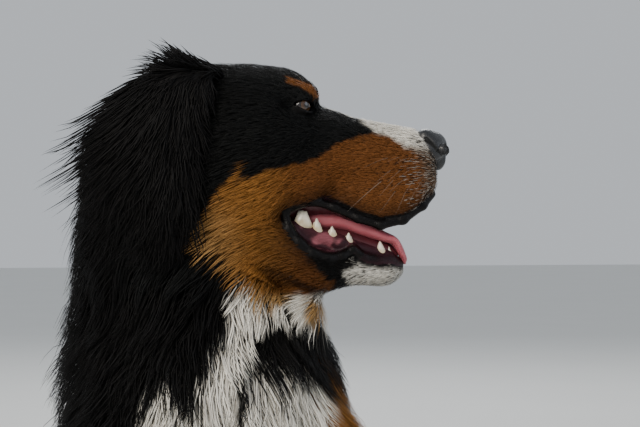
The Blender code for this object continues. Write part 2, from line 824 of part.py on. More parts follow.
def combed(core, masses, spacing, least_coat, seed):
    """Flat, tapered locks that rise from the core and lie along the hair out to the coat's tips."""
    roots = scattered(core, spacing, seed)
    depth = coat_depth(roots, masses)
    keep = (depth > least_coat) & (roots[:, 2] > 0.012)
    roots, depth = roots[keep], depth[keep]
    chance = random.Random(seed + 1)
    sway = np.array([chance.uniform(-1, 1) for _ in roots])
    lengths = np.array([chance.uniform(0.9, 1.2) for _ in roots]) * depth * 2.9
    halves = np.array([chance.uniform(0.85, 1.15) for _ in roots]) * spacing * 0.34
    centres, outs, alongs = [], [], []
    place, last = roots, 0.0
    for ring_index, (reach, share, _) in enumerate(LOCK_RINGS):
        _, out, _ = slope(place, masses, share)
        lie = hair_lie(place, masses)
        lie -= (lie * out).sum(axis=1)[:, None] * out
        lie /= np.maximum(np.linalg.norm(lie, axis=1), 1e-6)[:, None]
        across = np.cross(lie, out)
        bend = sway * (0.30 if ring_index < 2 else -0.22)
        heading = lie + across * bend[:, None]
        heading /= np.linalg.norm(heading, axis=1)[:, None]
        place = settle(place + heading * ((reach - last) * lengths)[:, None], masses, share, 2)
        last = reach
        _, out, _ = slope(place, masses, share)
        centres.append(place)
        outs.append(out)
        alongs.append(heading)
    locks = []
    for i in range(len(roots)):
        rings = []
        for (reach, share, breadth), centre, out, along in zip(LOCK_RINGS, centres, outs, alongs):
            if breadth == 0.0:
                tip = centre[i]
                continue
            across = np.cross(along[i], out[i])
            wide, thick = halves[i] * breadth, halves[i] * breadth * 0.42
            ring = [centre[i] + across * wide, centre[i] + out[i] * thick, centre[i] - across * wide]
            rings.append(ring)
        locks.append(lock("Lock", rings, tip))
    return locks


def lock(name, rings, tip):
    """One closed lock from rings of few corners and a pointed tip."""
    count = len(rings[0])
    points = [point for ring in rings for point in ring] + [tip]
    faces = [tuple(reversed(range(count)))]
    for i in range(len(rings) - 1):
        for j in range(count):
            k = (j + 1) % count
            faces.append((i * count + j, i * count + k, (i + 1) * count + k, (i + 1) * count + j))
    first = (len(rings) - 1) * count
    faces += [(first + j, first + (j + 1) % count, len(points) - 1) for j in range(count)]
    return outward(mesh_object(name, points, faces))


EAR_LOCKS = (
    (1.0, -0.7, 58, 14, -0.15), (1.2, 0.0, 64, 14, -0.25), (1.4, 0.6, 52, 13, -0.1),
    (1.8, -0.9, 78, 13, 0.7), (2.0, -0.2, 72, 13, 0.9), (2.2, 0.6, 64, 12, 1.0),
    (3.0, -0.9, 84, 14, 0.9), (3.2, -0.2, 76, 13, 1.0), (3.4, 0.5, 70, 12, 1.0),
    (4.3, -0.8, 80, 13, 1.0), (4.5, 0.0, 72, 12, 1.0), (4.7, 0.7, 58, 11, 1.0),
    (5.6, 0.0, 64, 12, 1.0),
)


def ear_lock(side, row, place, length, half, fall):
    """A lock lying down the outside of an ear, given by its row, its place across and its length."""
    low, share = int(row), row - int(row)
    length, half, place = length * (1 + 0.04 * side), half * (1 - 0.03 * side), place + 0.03 * side
    first, second = EAR_ROWS[low], EAR_ROWS[low + 1]
    forward, across, up, wide, thick = (a + (b - a) * share for a, b in zip(first, second))
    bulge = across + thick / 2 * (1 - 0.75 * place * place) - 9.0 * place * place
    start = Vector((forward + place * wide, bulge - 3.0, up))
    back = 0.95 - 0.65 * abs(fall)
    rings = []
    for reach, lift, breadth in ((0.0, 0.0, 0.8), (0.32, 7.0, 1.0), (0.68, 9.0, 0.72)):
        drift = Vector((-back * length * reach * (0.6 + 0.4 * reach), lift, -length * reach * fall))
        centre = start + drift
        ring = []
        for ahead, outside in ((1, -0.1), (0.1, 0.42), (-1, -0.1)):
            point = centre + Vector((ahead * half * breadth, outside * half * breadth, 0.25 * ahead * half))
            ring.append(head_point(point.x, side * point.y, point.z))
        rings.append(ring)
    end = start + Vector((-back * length, 6.0, -length * fall))
    return lock("EarLock", rings, head_point(end.x, side * end.y, end.z))


def claw(tip, forward, scale):
    """A blunt claw that curves down from a toe."""
    rings = []
    across = forward.cross(UPWARD)
    for share, size in ((0.0, 1.0), (0.5, 0.8), (1.0, 0.3)):
        centre = tip + forward * (0.013 * share * scale) - UPWARD * (0.006 * share * share * scale)
        ring = []
        for i in range(5):
            angle = 2 * math.pi * i / 5
            ring.append(centre + (across * math.cos(angle) * 0.0032 + UPWARD * math.sin(angle) * 0.0042) * size * scale)
        rings.append(ring)
    return loft("Claw", rings)


def claws(root, forward, scale):
    """The four claws of a paw."""
    across = forward.cross(UPWARD)
    found = []
    for place in (-1.5, -0.5, 0.5, 1.5):
        ahead = 0.024 if abs(place) < 1 else 0.010
        tip = root + across * (place * 0.0185 * scale) + forward * ((ahead + 0.020) * scale) + UPWARD * 0.0145
        found.append(claw(tip, forward, scale))
    return found


def foreleg_root(side):
    """Where the toes of a forepaw start."""
    return Vector(((-0.010 + side * 0.112) * 0.97, -0.415, 0.0))


def hind_root(side):
    """Where the toes of a hind paw start."""
    return Vector((0.046 + side * 0.150, 0.27, 0.0))


# The whole animal

WHOLE_TRIANGLES = 2800
HEAD_TRIANGLES = 4800
LOCK_SPACING = 0.068
LEAST_COAT = 0.020
FLOOR_REACH = 2.0


def body_flesh():
    """Neck, trunk, legs and tail with their locks, flat where they rest on the floor, without the head."""
    masses = all_masses()
    whole = flesh("Whole", masses, CORE_SHARE, 0.008, WHOLE_TRIANGLES)
    united(whole, combed(whole, masses, LOCK_SPACING, LEAST_COAT, 11))
    reach = FLOOR_REACH
    boolean(whole, box("Floor", (-reach, -reach, -reach), (reach, reach, 0.0)), "DIFFERENCE")
    boolean(whole, head_prism("Neck", HEAD_SIDE, 300, GAP * 1000), "DIFFERENCE")
    for side in SIDES:
        for room in ear_rooms(side):
            boolean(whole, room, "DIFFERENCE")
    return whole


def head_flesh():
    """The head as far as the neck, with its sockets, its seat for the nose and its open mouth."""
    masses = neck_masses() + cranium_masses() + jaw_masses()
    head = flesh("Head", masses, CORE_SHARE, 0.0035, HEAD_TRIANGLES)
    boolean(head, head_prism("Neck", HEAD_SIDE, 300), "INTERSECT")
    boolean(head, head_prism("Seat", NOSE_SIDE, 100, GAP * 1000), "DIFFERENCE")
    for side in SIDES:
        boolean(head, eyeball("Socket", side, SOCKET_ROOM), "DIFFERENCE")
        boolean(head, slit(side), "DIFFERENCE")
        for room in ear_rooms(side):
            boolean(head, room, "DIFFERENCE")
    return head


def head_nodes():
    """Head, lower jaw with its teeth, nose, tongue, eyes and ears."""
    head = head_flesh()
    jaw = boolean(copied(head, "lower_jaw"), head_prism("Cleft", JAW_SIDE, 100), "INTERSECT")
    boolean(head, head_prism("Cleft", JAW_SIDE, 100, GAP * 1000), "DIFFERENCE")
    boolean(head, tongue("Bed", SOCKET_ROOM), "DIFFERENCE")
    largest(jaw)
    teeth = []
    for side in SIDES:
        for forward, across, up, long, wide, high in TEETH:
            teeth.append(tooth(forward, side * across, up, long, wide, high))
    united(jaw, teeth)
    boolean(jaw, tongue("Bed", SOCKET_ROOM), "DIFFERENCE")
    nose = flesh("nose", nose_masses(), 0.0, 0.0014, 420)
    boolean(nose, head_prism("Seat", NOSE_SIDE, 100), "INTERSECT")
    nodes = {"head": largest(head), "lower_jaw": largest(jaw), "nose": largest(nose), "tongue": tongue("tongue")}
    for side, word in zip(SIDES, ("right", "left")):
        nodes["eye_" + word] = eyeball("eye_" + word, side)
        ear = united(ear_flap("ear_" + word, side), [ear_lock(side, *numbers) for numbers in EAR_LOCKS])
        nodes["ear_" + word] = largest(ear)
    return nodes


def body_nodes():
    """Neck, torso, legs, paws and tail, parted by thin cuts."""
    whole = body_flesh()
    far = 2.0
    nodes = {}
    regions = {
        "tail": ((-far, 0.535, -0.1), (far, far, far)),
        "forepaw_right": ((-far, -far, -0.1), (-0.010, -0.345, 0.12)),
        "forepaw_left": ((-0.010, -far, -0.1), (far, -0.345, 0.12)),
        "foreleg_right": ((-far, -0.3447, -0.1), (-0.062, 0.035, 0.085)),
        "foreleg_left": ((0.042, -0.3447, -0.1), (far, 0.035, 0.085)),
        "hind_paw_right": ((-far, 0.19, -0.1), (-0.060, 0.345, 0.062)),
        "hind_paw_left": ((0.152, 0.19, -0.1), (far, 0.345, 0.062)),
        "hind_leg_right": ((-far, 0.16, -0.1), (-0.010, 0.5347, 0.24)),
        "hind_leg_left": ((0.115, 0.16, -0.1), (far, 0.5347, 0.24)),
    }
    for name, region in regions.items():
        nodes[name] = body_part(whole, region, name)
    nodes["neck"] = boolean(copied(whole, "neck"), collar(GAP), "INTERSECT")
    nodes["torso"] = boolean(whole, collar(0.0), "DIFFERENCE")
    largest(nodes["neck"])
    largest(nodes["torso"])
    for side, word in zip(SIDES, ("right", "left")):
        united(nodes["forepaw_" + word], claws(foreleg_root(side), Vector((0, -1, 0)), 1.0))
        united(nodes["hind_paw_" + word], claws(hind_root(side), Vector((0, -1, 0)), 0.9))
    return nodes


def collar(gap):
    """The space over the cut between neck and torso, which rises towards the withers."""
    normal = Vector((-0.05, -0.40, 0.91)).normalized()
    turn = UPWARD.rotation_difference(normal).to_matrix()
    return box("Collar", (-1.0, -1.0, gap), (1.0, 1.0, 1.0), turn, (0.0, -0.06, 0.285))


COLOURS = {
    "torso": (0.012, 0.011, 0.011),
    "neck": (0.014, 0.012, 0.012),
    "head": (0.020, 0.016, 0.014),
    "lower_jaw": (0.38, 0.17, 0.06),
    "nose": (0.018, 0.018, 0.020),
    "tongue": (0.72, 0.30, 0.32),
    "eye": (0.10, 0.045, 0.015),
    "ear": (0.012, 0.011, 0.011),
    "foreleg": (0.42, 0.18, 0.06),
    "forepaw": (0.80, 0.76, 0.70),
    "hind_leg": (0.014, 0.012, 0.012),
    "hind_paw": (0.80, 0.76, 0.70),
    "tail": (0.012, 0.011, 0.011),
}
GLOSS = {"eye": 0.08, "nose": 0.35, "tongue": 0.30}


def cleaned(obj):
    """Rids a node of slivers and of corners that all but meet, with the gentlest merge that leaves it closed."""
    for distance in SLIVERS:
        build = bmesh.new()
        build.from_mesh(obj.data)
        bmesh.ops.dissolve_degenerate(build, dist=distance, edges=build.edges)
        bmesh.ops.triangulate(build, faces=build.faces)
        close = bmesh.ops.find_doubles(build, verts=build.verts, dist=SLIVERS[0])["targetmap"]
        sound = not close and all(edge.is_manifold for edge in build.edges)
        if sound:
            build.to_mesh(obj.data)
        build.free()
        if sound:
            return


def dressed(name, obj):
    """Gives a node its name, its material and smooth faces."""
    kind = name.removesuffix("_left").removesuffix("_right")
    cleaned(obj)
    obj.name = name
    obj.data.name = name
    obj.data.materials.clear()
    material = bpy.data.materials.new(name)
    material.use_nodes = True
    shader = material.node_tree.nodes["Principled BSDF"]
    shader.inputs["Base Color"].default_value = (*COLOURS[kind], 1.0)
    shader.inputs["Roughness"].default_value = GLOSS.get(kind, 0.7)
    obj.data.materials.append(material)


def centred(nodes):
    """Moves all nodes so that the middle of the whole, at floor level, is the origin."""
    clouds = np.concatenate([coordinates(obj) for obj in nodes.values()])
    low, high = clouds.min(axis=0), clouds.max(axis=0)
    move = Matrix.Translation((-(low[0] + high[0]) / 2, -(low[1] + high[1]) / 2, -low[2]))
    for obj in nodes.values():
        obj.data.transform(move)


def build():
    """Builds every node and gathers them in one collection."""
    for obj in list(bpy.data.objects):
        bpy.data.objects.remove(obj)
    nodes = {**body_nodes(), **head_nodes()}
    centred(nodes)
    parts = bpy.data.collections.new("bernese_mountain_dog")
    bpy.context.scene.collection.children.link(parts)
    for name, obj in nodes.items():
        dressed(name, obj)
        parts.objects.link(obj)
        bpy.context.scene.collection.objects.unlink(obj)


build()
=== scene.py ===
"""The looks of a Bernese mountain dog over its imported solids: hide, coat, eyes, nose, mouth and claws.

The dog faces -Y and turns its head to its own left, +X. The shapes are worked out where the dog was
first modelled and moved by ORIGIN_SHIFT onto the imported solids. Sizes are in metres, except those
of the head, which are in millimetres along the head's own forward, side and up directions.
"""

import logging
import math
from dataclasses import dataclass, field
from enum import Enum

import bmesh
import bpy
import numpy as np
from mathutils import Matrix, Vector
from mathutils.bvhtree import BVHTree
from mathutils.kdtree import KDTree


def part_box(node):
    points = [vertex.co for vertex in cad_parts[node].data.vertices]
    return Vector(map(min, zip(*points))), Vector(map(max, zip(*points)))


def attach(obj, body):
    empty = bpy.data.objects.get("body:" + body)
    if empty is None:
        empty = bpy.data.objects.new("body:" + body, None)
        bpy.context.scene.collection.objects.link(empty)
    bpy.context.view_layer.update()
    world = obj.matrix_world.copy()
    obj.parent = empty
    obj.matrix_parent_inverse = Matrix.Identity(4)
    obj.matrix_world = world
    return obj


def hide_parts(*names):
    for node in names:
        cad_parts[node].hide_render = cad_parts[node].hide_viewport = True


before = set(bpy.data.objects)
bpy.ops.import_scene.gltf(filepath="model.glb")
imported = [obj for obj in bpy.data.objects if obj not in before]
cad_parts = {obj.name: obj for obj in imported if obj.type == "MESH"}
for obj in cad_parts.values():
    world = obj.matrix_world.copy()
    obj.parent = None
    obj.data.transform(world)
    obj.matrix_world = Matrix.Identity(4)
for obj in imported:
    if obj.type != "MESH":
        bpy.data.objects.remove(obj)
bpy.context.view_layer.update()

log = logging.getLogger("dog")
Array = np.ndarray
Object = bpy.types.Object
Material = bpy.types.Material
Socket = bpy.types.NodeSocket
Chance = np.random.Generator
MM = 0.001

HEAD_YAW = math.radians(-10.0)
HEAD_ORIGIN = Vector((0.030, -0.130, 0.522))
FORWARD = Vector((math.cos(HEAD_YAW), math.sin(HEAD_YAW), 0.0))
LEFTWARD = Vector((-math.sin(HEAD_YAW), math.cos(HEAD_YAW), 0.0))
UPWARD = Vector((0.0, 0.0, 1.0))
HEAD_TURN = Matrix((FORWARD, LEFTWARD, UPWARD)).transposed()
BACKWARD = (-1, 0, 0)


class Side(Enum):
    """The two sides of the animal, with their sign along its left."""

    RIGHT = -1.0
    LEFT = 1.0


def head_point(forward: float, side: float, up: float) -> Vector:
    """A point of the head, given in millimetres along the head's own directions."""
    return HEAD_ORIGIN + HEAD_TURN @ Vector((forward, side, up)) * MM


def head_space(points: Array) -> Array:
    """The points in the head's own millimetres.

    Args:
        points: rows of x, y and z in metres.

    Returns:
        Rows of forward, side and up.
    """
    return (points - np.array(HEAD_ORIGIN)) @ np.array(HEAD_TURN) * 1000.0


def eye_centre(side: Side) -> tuple[float, float, float]:
    """The centre of an eyeball, in the head's millimetres."""
    return (57.0, side.value * 30.0, 48.0)


def origin_shift() -> Vector:
    """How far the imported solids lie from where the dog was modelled, read from an eye."""
    low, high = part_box("eye_left")
    return (Vector(low) + Vector(high)) / 2 - head_point(*eye_centre(Side.LEFT))


ORIGIN_SHIFT = origin_shift()


# Masses of flesh


@dataclass
class Ball:
    """An ellipsoid of flesh with the depth of its coat and the lie of its hair."""

    centre: Vector
    radii: Vector
    coat: float = 0.0
    lie: tuple[float, float, float] = (0.0, 1.0, 0.0)
    blend: float = 0.03
    turn: Matrix = field(default_factory=lambda: Matrix.Identity(3))
    dent: bool = False

    def __post_init__(self) -> None:
        """Prepares the numbers that every reading needs."""
        radii = np.array(self.radii)
        self.middle = np.array(self.centre, np.float32)
        self.inner = (np.array(self.turn) / radii).astype(np.float32)
        self.shrink = (1 / radii)[:, None].astype(np.float32)

    def distance(self, points: Array) -> Array:
        """Signed distance of the points from the ellipsoid.

        Args:
            points: rows of x, y and z.

        Returns:
            One distance a point, negative inside.
        """
        local = ((points - self.middle) @ self.inner).T
        near = np.sqrt(local[0] ** 2 + local[1] ** 2 + local[2] ** 2)
        local *= self.shrink
        slope = np.sqrt(local[0] ** 2 + local[1] ** 2 + local[2] ** 2)
        return near * (near - 1.0) / np.maximum(slope, 1e-9)

    def rough(self) -> list[tuple[Vector, Vector, Matrix]]:
        """Centre, radii and turn of the spheres that block this mass out."""
        return [(self.centre, self.radii, self.turn)]


@dataclass
class Limb:
    """A rounded cone of flesh between two points, with its coat and the lie of its hair."""

    start: Vector
    end: Vector
    radius: float
    end_radius: float
    coat: float = 0.0
    lie: tuple[float, float, float] = (0.0, 1.0, 0.0)
    blend: float = 0.03
    dent: bool = False

    def __post_init__(self) -> None:
        """Prepares the numbers that every reading needs."""
        self.first = np.array(self.start, np.float32)
        self.along = np.array(self.end - self.start, np.float32)
        self.way = self.along / (self.along @ self.along)

    def distance(self, points: Array) -> Array:
        """Signed distance of the points from the rounded cone.

        Args:
            points: rows of x, y and z.

        Returns:
            One distance a point, negative inside.
        """
        apart = points - self.first
        share = np.clip(apart @ self.way, 0.0, 1.0)
        apart = (apart - share[:, None] * self.along).T
        radius = self.radius + (self.end_radius - self.radius) * share
        return np.sqrt(apart[0] ** 2 + apart[1] ** 2 + apart[2] ** 2) - radius

    def rough(self) -> list[tuple[Vector, Vector, Matrix]]:
        """Centre, radii and turn of the spheres that block this mass out.

        Returns:
            One centre, radii and turn a sphere.
        """
        count = max(2, int((self.end - self.start).length / min(self.radius, self.end_radius)) + 2)
        spheres = []
        for share in np.linspace(0.0, 1.0, count):
            radius = self.radius + (self.end_radius - self.radius) * share
            spheres.append((self.start.lerp(self.end, share), Vector((radius,) * 3), Matrix.Identity(3)))
        return spheres


Mass = Ball | Limb


def ball(centre: tuple, radii: tuple, coat: float, lie: tuple, blend: float) -> Ball:
    """A ball of the body, in metres."""
    return Ball(Vector(centre), Vector(radii), coat, lie, blend)


def limb(start: tuple, end: tuple, radius: float, end_radius: float, *rest: float | tuple) -> Limb:
    """A limb of the body, in metres, with its coat, lie and blend last."""
    return Limb(Vector(start), Vector(end), radius, end_radius, *rest)


def head_ball(
    centre: tuple, radii: tuple, coat: float = 0.003, lie: tuple = BACKWARD, blend: float = 16
) -> Ball:
    """A ball of the head, in millimetres but for its coat."""
    world_lie = tuple(HEAD_TURN @ Vector(lie))
    return Ball(head_point(*centre), Vector(radii) * MM, coat, world_lie, blend * MM, HEAD_TURN)


def head_limb(
    start: tuple, end: tuple, radius: float, end_radius: float, coat: float = 0.003, blend: float = 10
) -> Limb:
    """A limb of the head, in millimetres but for its coat, whose hair lies backward."""
    sizes = (radius * MM, end_radius * MM, coat, tuple(HEAD_TURN @ Vector(BACKWARD)), blend * MM)
    return Limb(head_point(*start), head_point(*end), *sizes)


def head_chain(points: tuple | list, radius: float, blend: float = 5) -> list[Limb]:
    """Short bare limbs end to end, as along a lip."""
    return [head_limb(a, b, radius, radius, 0.0, blend=blend) for a, b in zip(points, points[1:])]


def dented(mass: Mass) -> Mass:
    """The same mass as a hollow."""
    mass.dent = True
    return mass


# Lines of the mouth, in millimetres forward, out and up. The rolled edges of the lips run from the
# corner to the front, the lower one with a pouch behind the canine. The ridge carries the lower teeth.
UPPER_LIP = (
    (40, 39, -70), (51, 39, -62), (70, 37, -58), (94, 35, -65), (121, 34, -77), (146, 32, -85),
    (172, 26, -79), (194, 15, -63), (205, 4, -50),
)
LOWER_LIP = (
    (40, 39, -70), (45, 41, -89), (56, 42, -103), (71, 41, -115), (88, 38, -121), (104, 33, -119),
    (116, 28, -112), (128, 24, -121), (146, 19, -125), (160, 12, -124), (168, 3, -126),
)
GUM_RIDGE = ((50, 27, -88), (100, 21, -104), (154, 10, -119))
# Toes of a paw: how far each stands to the side, in spacings, and how far ahead, in metres
TOES = ((-1.5, 0.010), (-0.5, 0.024), (0.5, 0.024), (1.5, 0.010))
TOE_SPACING = 0.0185


def on_side(line: tuple, side: Side) -> list[tuple]:
    """A line of the mouth on one side of the head."""
    return [(forward, side.value * across, up) for forward, across, up in line]


class Anatomy:
    """Every mass of the animal, in the order in which they blend."""

    def cranium(self) -> list[Mass]:
        """Skull, brows, cheeks, lids and upper muzzle, with the hollows before the eyes last.

        Returns:
            The masses.
        """
        masses: list[Mass] = [
            head_ball((0, 0, 43), (70, 62, 50), blend=12),
            head_ball((36, 0, 50), (38, 46, 38), blend=12),
            head_ball((-45, 0, 46), (38, 48, 42), coat=0.012, lie=(-1, 0, -0.4), blend=14),
            head_ball((80, 0, 24), (28, 24, 19), blend=12),
            head_limb((75, 0, 12), (186, 0, -2), 29, 23.5, blend=12),
        ]
        for side in Side:
            s = side.value
            masses += [
                head_ball((4, s * 50, 8), (54, 27, 44), coat=0.006, lie=(-1, 0, -0.3), blend=14),
                head_ball((-6, s * 46, -36), (50, 26, 48), coat=0.014, lie=(-1, 0, -0.6), blend=18),
                head_ball((52, s * 36, -22), (40, 19, 44), coat=0.004, lie=(-1, 0, -0.4), blend=16),
                head_limb((10, s * 62, 14), (60, s * 44, 18), 13, 11, blend=14),
                head_ball((56, s * 26, 60), (20, 18, 14), coat=0.003, blend=10),
                head_ball((84, s * 24, 10), (36, 20, 26), coat=0.003, blend=12),
                head_limb((95, s * 18, -10), (184, s * 14, -13), 25, 20, blend=12),
                head_ball((136, s * 25, -46), (58, 14, 37), blend=12),
                head_ball((186, s * 12, -33), (24, 19, 25), blend=10),
            ]
            masses += head_chain(on_side(UPPER_LIP, side), 4.5)
        for side in Side:
            s = side.value
            masses.append(dented(head_ball((90, s * 50, 42), (22, 14, 16), blend=12)))
            masses.append(dented(head_ball((50, s * 55, 45), (16, 13, 9), blend=10)))
            masses.append(head_ball(eye_centre(side), (14.8, 14.8, 14), coat=0.001, blend=5))
            crease = ((51, s * 44.5, 57.5), (60, s * 41, 59.5), (69, s * 35, 58))
            masses += [dented(fold) for fold in head_chain(crease, 0.9, 2)]
        return masses

    def jaw(self) -> list[Mass]:
        """Lower jaw, chin, gums and lower lip.

        Returns:
            The masses.
        """
        masses: list[Mass] = [
            head_ball((149, 0, -133), (24, 21, 16), coat=0.004, blend=12),
            head_ball((95, 0, -124), (62, 24, 16), coat=0.003, blend=12),
            head_ball((30, 0, -110), (50, 34, 26), coat=0.006, blend=20),
        ]
        for side in Side:
            s = side.value
            back, middle, front = on_side(GUM_RIDGE, side)
            masses += [
                head_limb((5, s * 34, -92), (80, s * 25, -134), 25, 19, coat=0.005, blend=16),
                head_limb((80, s * 25, -134), (148, s * 9, -134), 19, 15, coat=0.004, blend=12),
                head_limb(back, middle, 9, 8, coat=0.0, blend=6),
                head_limb(middle, front, 8, 6.5, coat=0.0, blend=6),
            ]
            masses += head_chain(on_side(LOWER_LIP, side), 4.5)
        return masses

    def neck(self) -> list[Mass]:
        """Neck, nape and throat, under the long ruff.

        Returns:
            The masses.
        """
        nape, throat = tuple(head_point(-104, 0, -14)), tuple(head_point(-38, 0, -88))
        return [
            limb((-0.008, 0.01, 0.25), (-0.036, -0.065, 0.38), 0.095, 0.080, 0.055, (0, 0.3, -1), 0.05),
            limb((-0.036, -0.065, 0.38), nape, 0.080, 0.056, 0.044, (-0.4, 0.3, -0.9), 0.05),
            limb((-0.003, -0.15, 0.26), throat, 0.070, 0.040, 0.045, (0.2, -0.2, -1), 0.05),
            head_ball((56, 0, -186), (20, 34, 42), coat=0.030, lie=(0.2, 0, -1), blend=25),
        ]

    def trunk(self) -> list[Mass]:
        """Rib cage, breast, back, belly and croup. The rear of the trunk bends to the dog's left.

        Returns:
            The masses.
        """
        masses: list[Mass] = [
            ball((-0.006, 0.03, 0.172), (0.106, 0.235, 0.150), 0.045, (0, 1, -0.35), 0.05),
            ball((-0.012, -0.145, 0.185), (0.084, 0.080, 0.125), 0.050, (0, -0.25, -1), 0.05),
            ball((-0.008, 0.03, 0.290), (0.060, 0.14, 0.045), 0.045, (0, 1, -0.2), 0.05),
            ball((0.022, 0.27, 0.160), (0.105, 0.17, 0.115), 0.045, (0.15, 1, -0.3), 0.05),
            ball((0.012, 0.20, 0.095), (0.115, 0.20, 0.090), 0.040, (0, 0.8, -0.5), 0.05),
            ball((0.060, 0.42, 0.165), (0.100, 0.13, 0.105), 0.045, (0.2, 1, -0.4), 0.05),
        ]
        for side in Side:
            s = side.value
            masses += [
                ball((-0.010 + s * 0.078, 0.0, 0.240), (0.048, 0.095, 0.100), 0.038, (0, 0.5, -0.9), 0.04),
                ball((-0.012 + s * 0.086, -0.085, 0.170), (0.044, 0.080, 0.115), 0.035, (0, 0.3, -1), 0.04),
            ]
        return masses

    def foreleg(self, side: Side) -> list[Mass]:
        """Upper arm, forearm, pastern and toes of a foreleg stretched out on the floor.

        Args:
            side: which leg.

        Returns:
            The masses.
        """
        x = -0.010 + side.value * 0.112
        masses: list[Mass] = [
            limb((x * 0.95, -0.15, 0.16), (x * 1.1, -0.02, 0.062), 0.046, 0.038, 0.025, (0, 0.3, -1), 0.03),
            limb((x * 1.1, -0.02, 0.056), (x, -0.27, 0.040), 0.036, 0.025, 0.012, (0, -0.7, -0.5), 0.03),
            limb((x, -0.27, 0.040), (x * 0.97, -0.36, 0.032), 0.027, 0.030, 0.007, (0, -1, -0.3), 0.02),
            ball((x * 0.97, -0.385, 0.031), (0.038, 0.050, 0.030), 0.007, (0, -1, -0.3), 0.02),
        ]
        return masses + self.toes(self.foreleg_root(side), 1.0)

    def foreleg_root(self, side: Side) -> Vector:
        """Where the toes of a forepaw start."""
        return Vector(((-0.010 + side.value * 0.112) * 0.97, -0.415, 0.0))

    def hind_root(self, side: Side) -> Vector:
        """Where the toes of a hind paw start."""
        return Vector((0.046 + side.value * 0.150, 0.27, 0.0))

    def hind_leg(self, side: Side) -> list[Mass]:
        """Thigh, shank, hock and foot of a folded hind leg.

        Args:
            side: which leg.

        Returns:
            The masses.
        """
        s = side.value
        hip, knee = (0.060 + s * 0.062, 0.41, 0.160), (0.042 + s * 0.122, 0.250, 0.098)
        hock, foot = (0.060 + s * 0.136, 0.47, 0.048), (0.046 + s * 0.150, 0.30, 0.030)
        masses: list[Mass] = [
            limb(hip, knee, 0.084, 0.054, 0.040, (s * 0.1, 0.7, -0.7), 0.04),
            limb(knee, hock, 0.050, 0.030, 0.030, (0, 0.9, -0.4), 0.04),
            limb(hock, foot, 0.027, 0.027, 0.010, (0, -0.9, -0.3), 0.02),
            ball(foot, (0.034, 0.048, 0.028), 0.007, (0, -1, -0.3), 0.02),
        ]
        return masses + self.toes(self.hind_root(side), 0.9)

    def toes(self, root: Vector, scale: float) -> list[Mass]:
        """Four toes side by side, the middle two ahead.

        Args:
            root: where the toes start.
            scale: their size against those of a forepaw.

        Returns:
            The masses.
        """
        masses: list[Mass] = []
        for place, ahead in TOES:
            centre = root + Vector((-place * TOE_SPACING * scale, -ahead * scale, 0.021))
            size = (0.0125 * scale, 0.026 * scale, 0.020)
            masses.append(ball(centre, size, 0.004, (0, -1, -0.4), 0.004))
        return masses

    def tail(self) -> list[Mass]:
        """The tail, laid on the floor and curved to the dog's left.

        Returns:
            The masses.
        """
        route = (
            ((0.070, 0.515, 0.135), 0.034),
            ((0.088, 0.580, 0.085), 0.026),
            ((0.125, 0.640, 0.055), 0.022),
            ((0.180, 0.675, 0.046), 0.019),
            ((0.245, 0.675, 0.042), 0.016),
            ((0.300, 0.640, 0.038), 0.012),
        )
        masses: list[Mass] = []
        for (start, radius), (end, end_radius) in zip(route, route[1:]):
            lie = tuple((Vector(end) - Vector(start)).normalized())
            masses.append(limb(start, end, radius, end_radius, 0.045, lie, 0.03))
        return masses

    def body(self) -> list[Mass]:
        """All masses behind the head.

        Returns:
            The masses.
        """
        masses = self.neck() + self.trunk() + self.tail()
        for side in Side:
            masses += self.foreleg(side) + self.hind_leg(side)
        return masses

    def head(self) -> list[Mass]:
        """The head and the part of the neck that carries it."""
        return self.neck() + self.cranium() + self.jaw()

    def whole(self) -> list[Mass]:
        """The whole animal but for its ears."""
        return self.body() + self.cranium() + self.jaw()


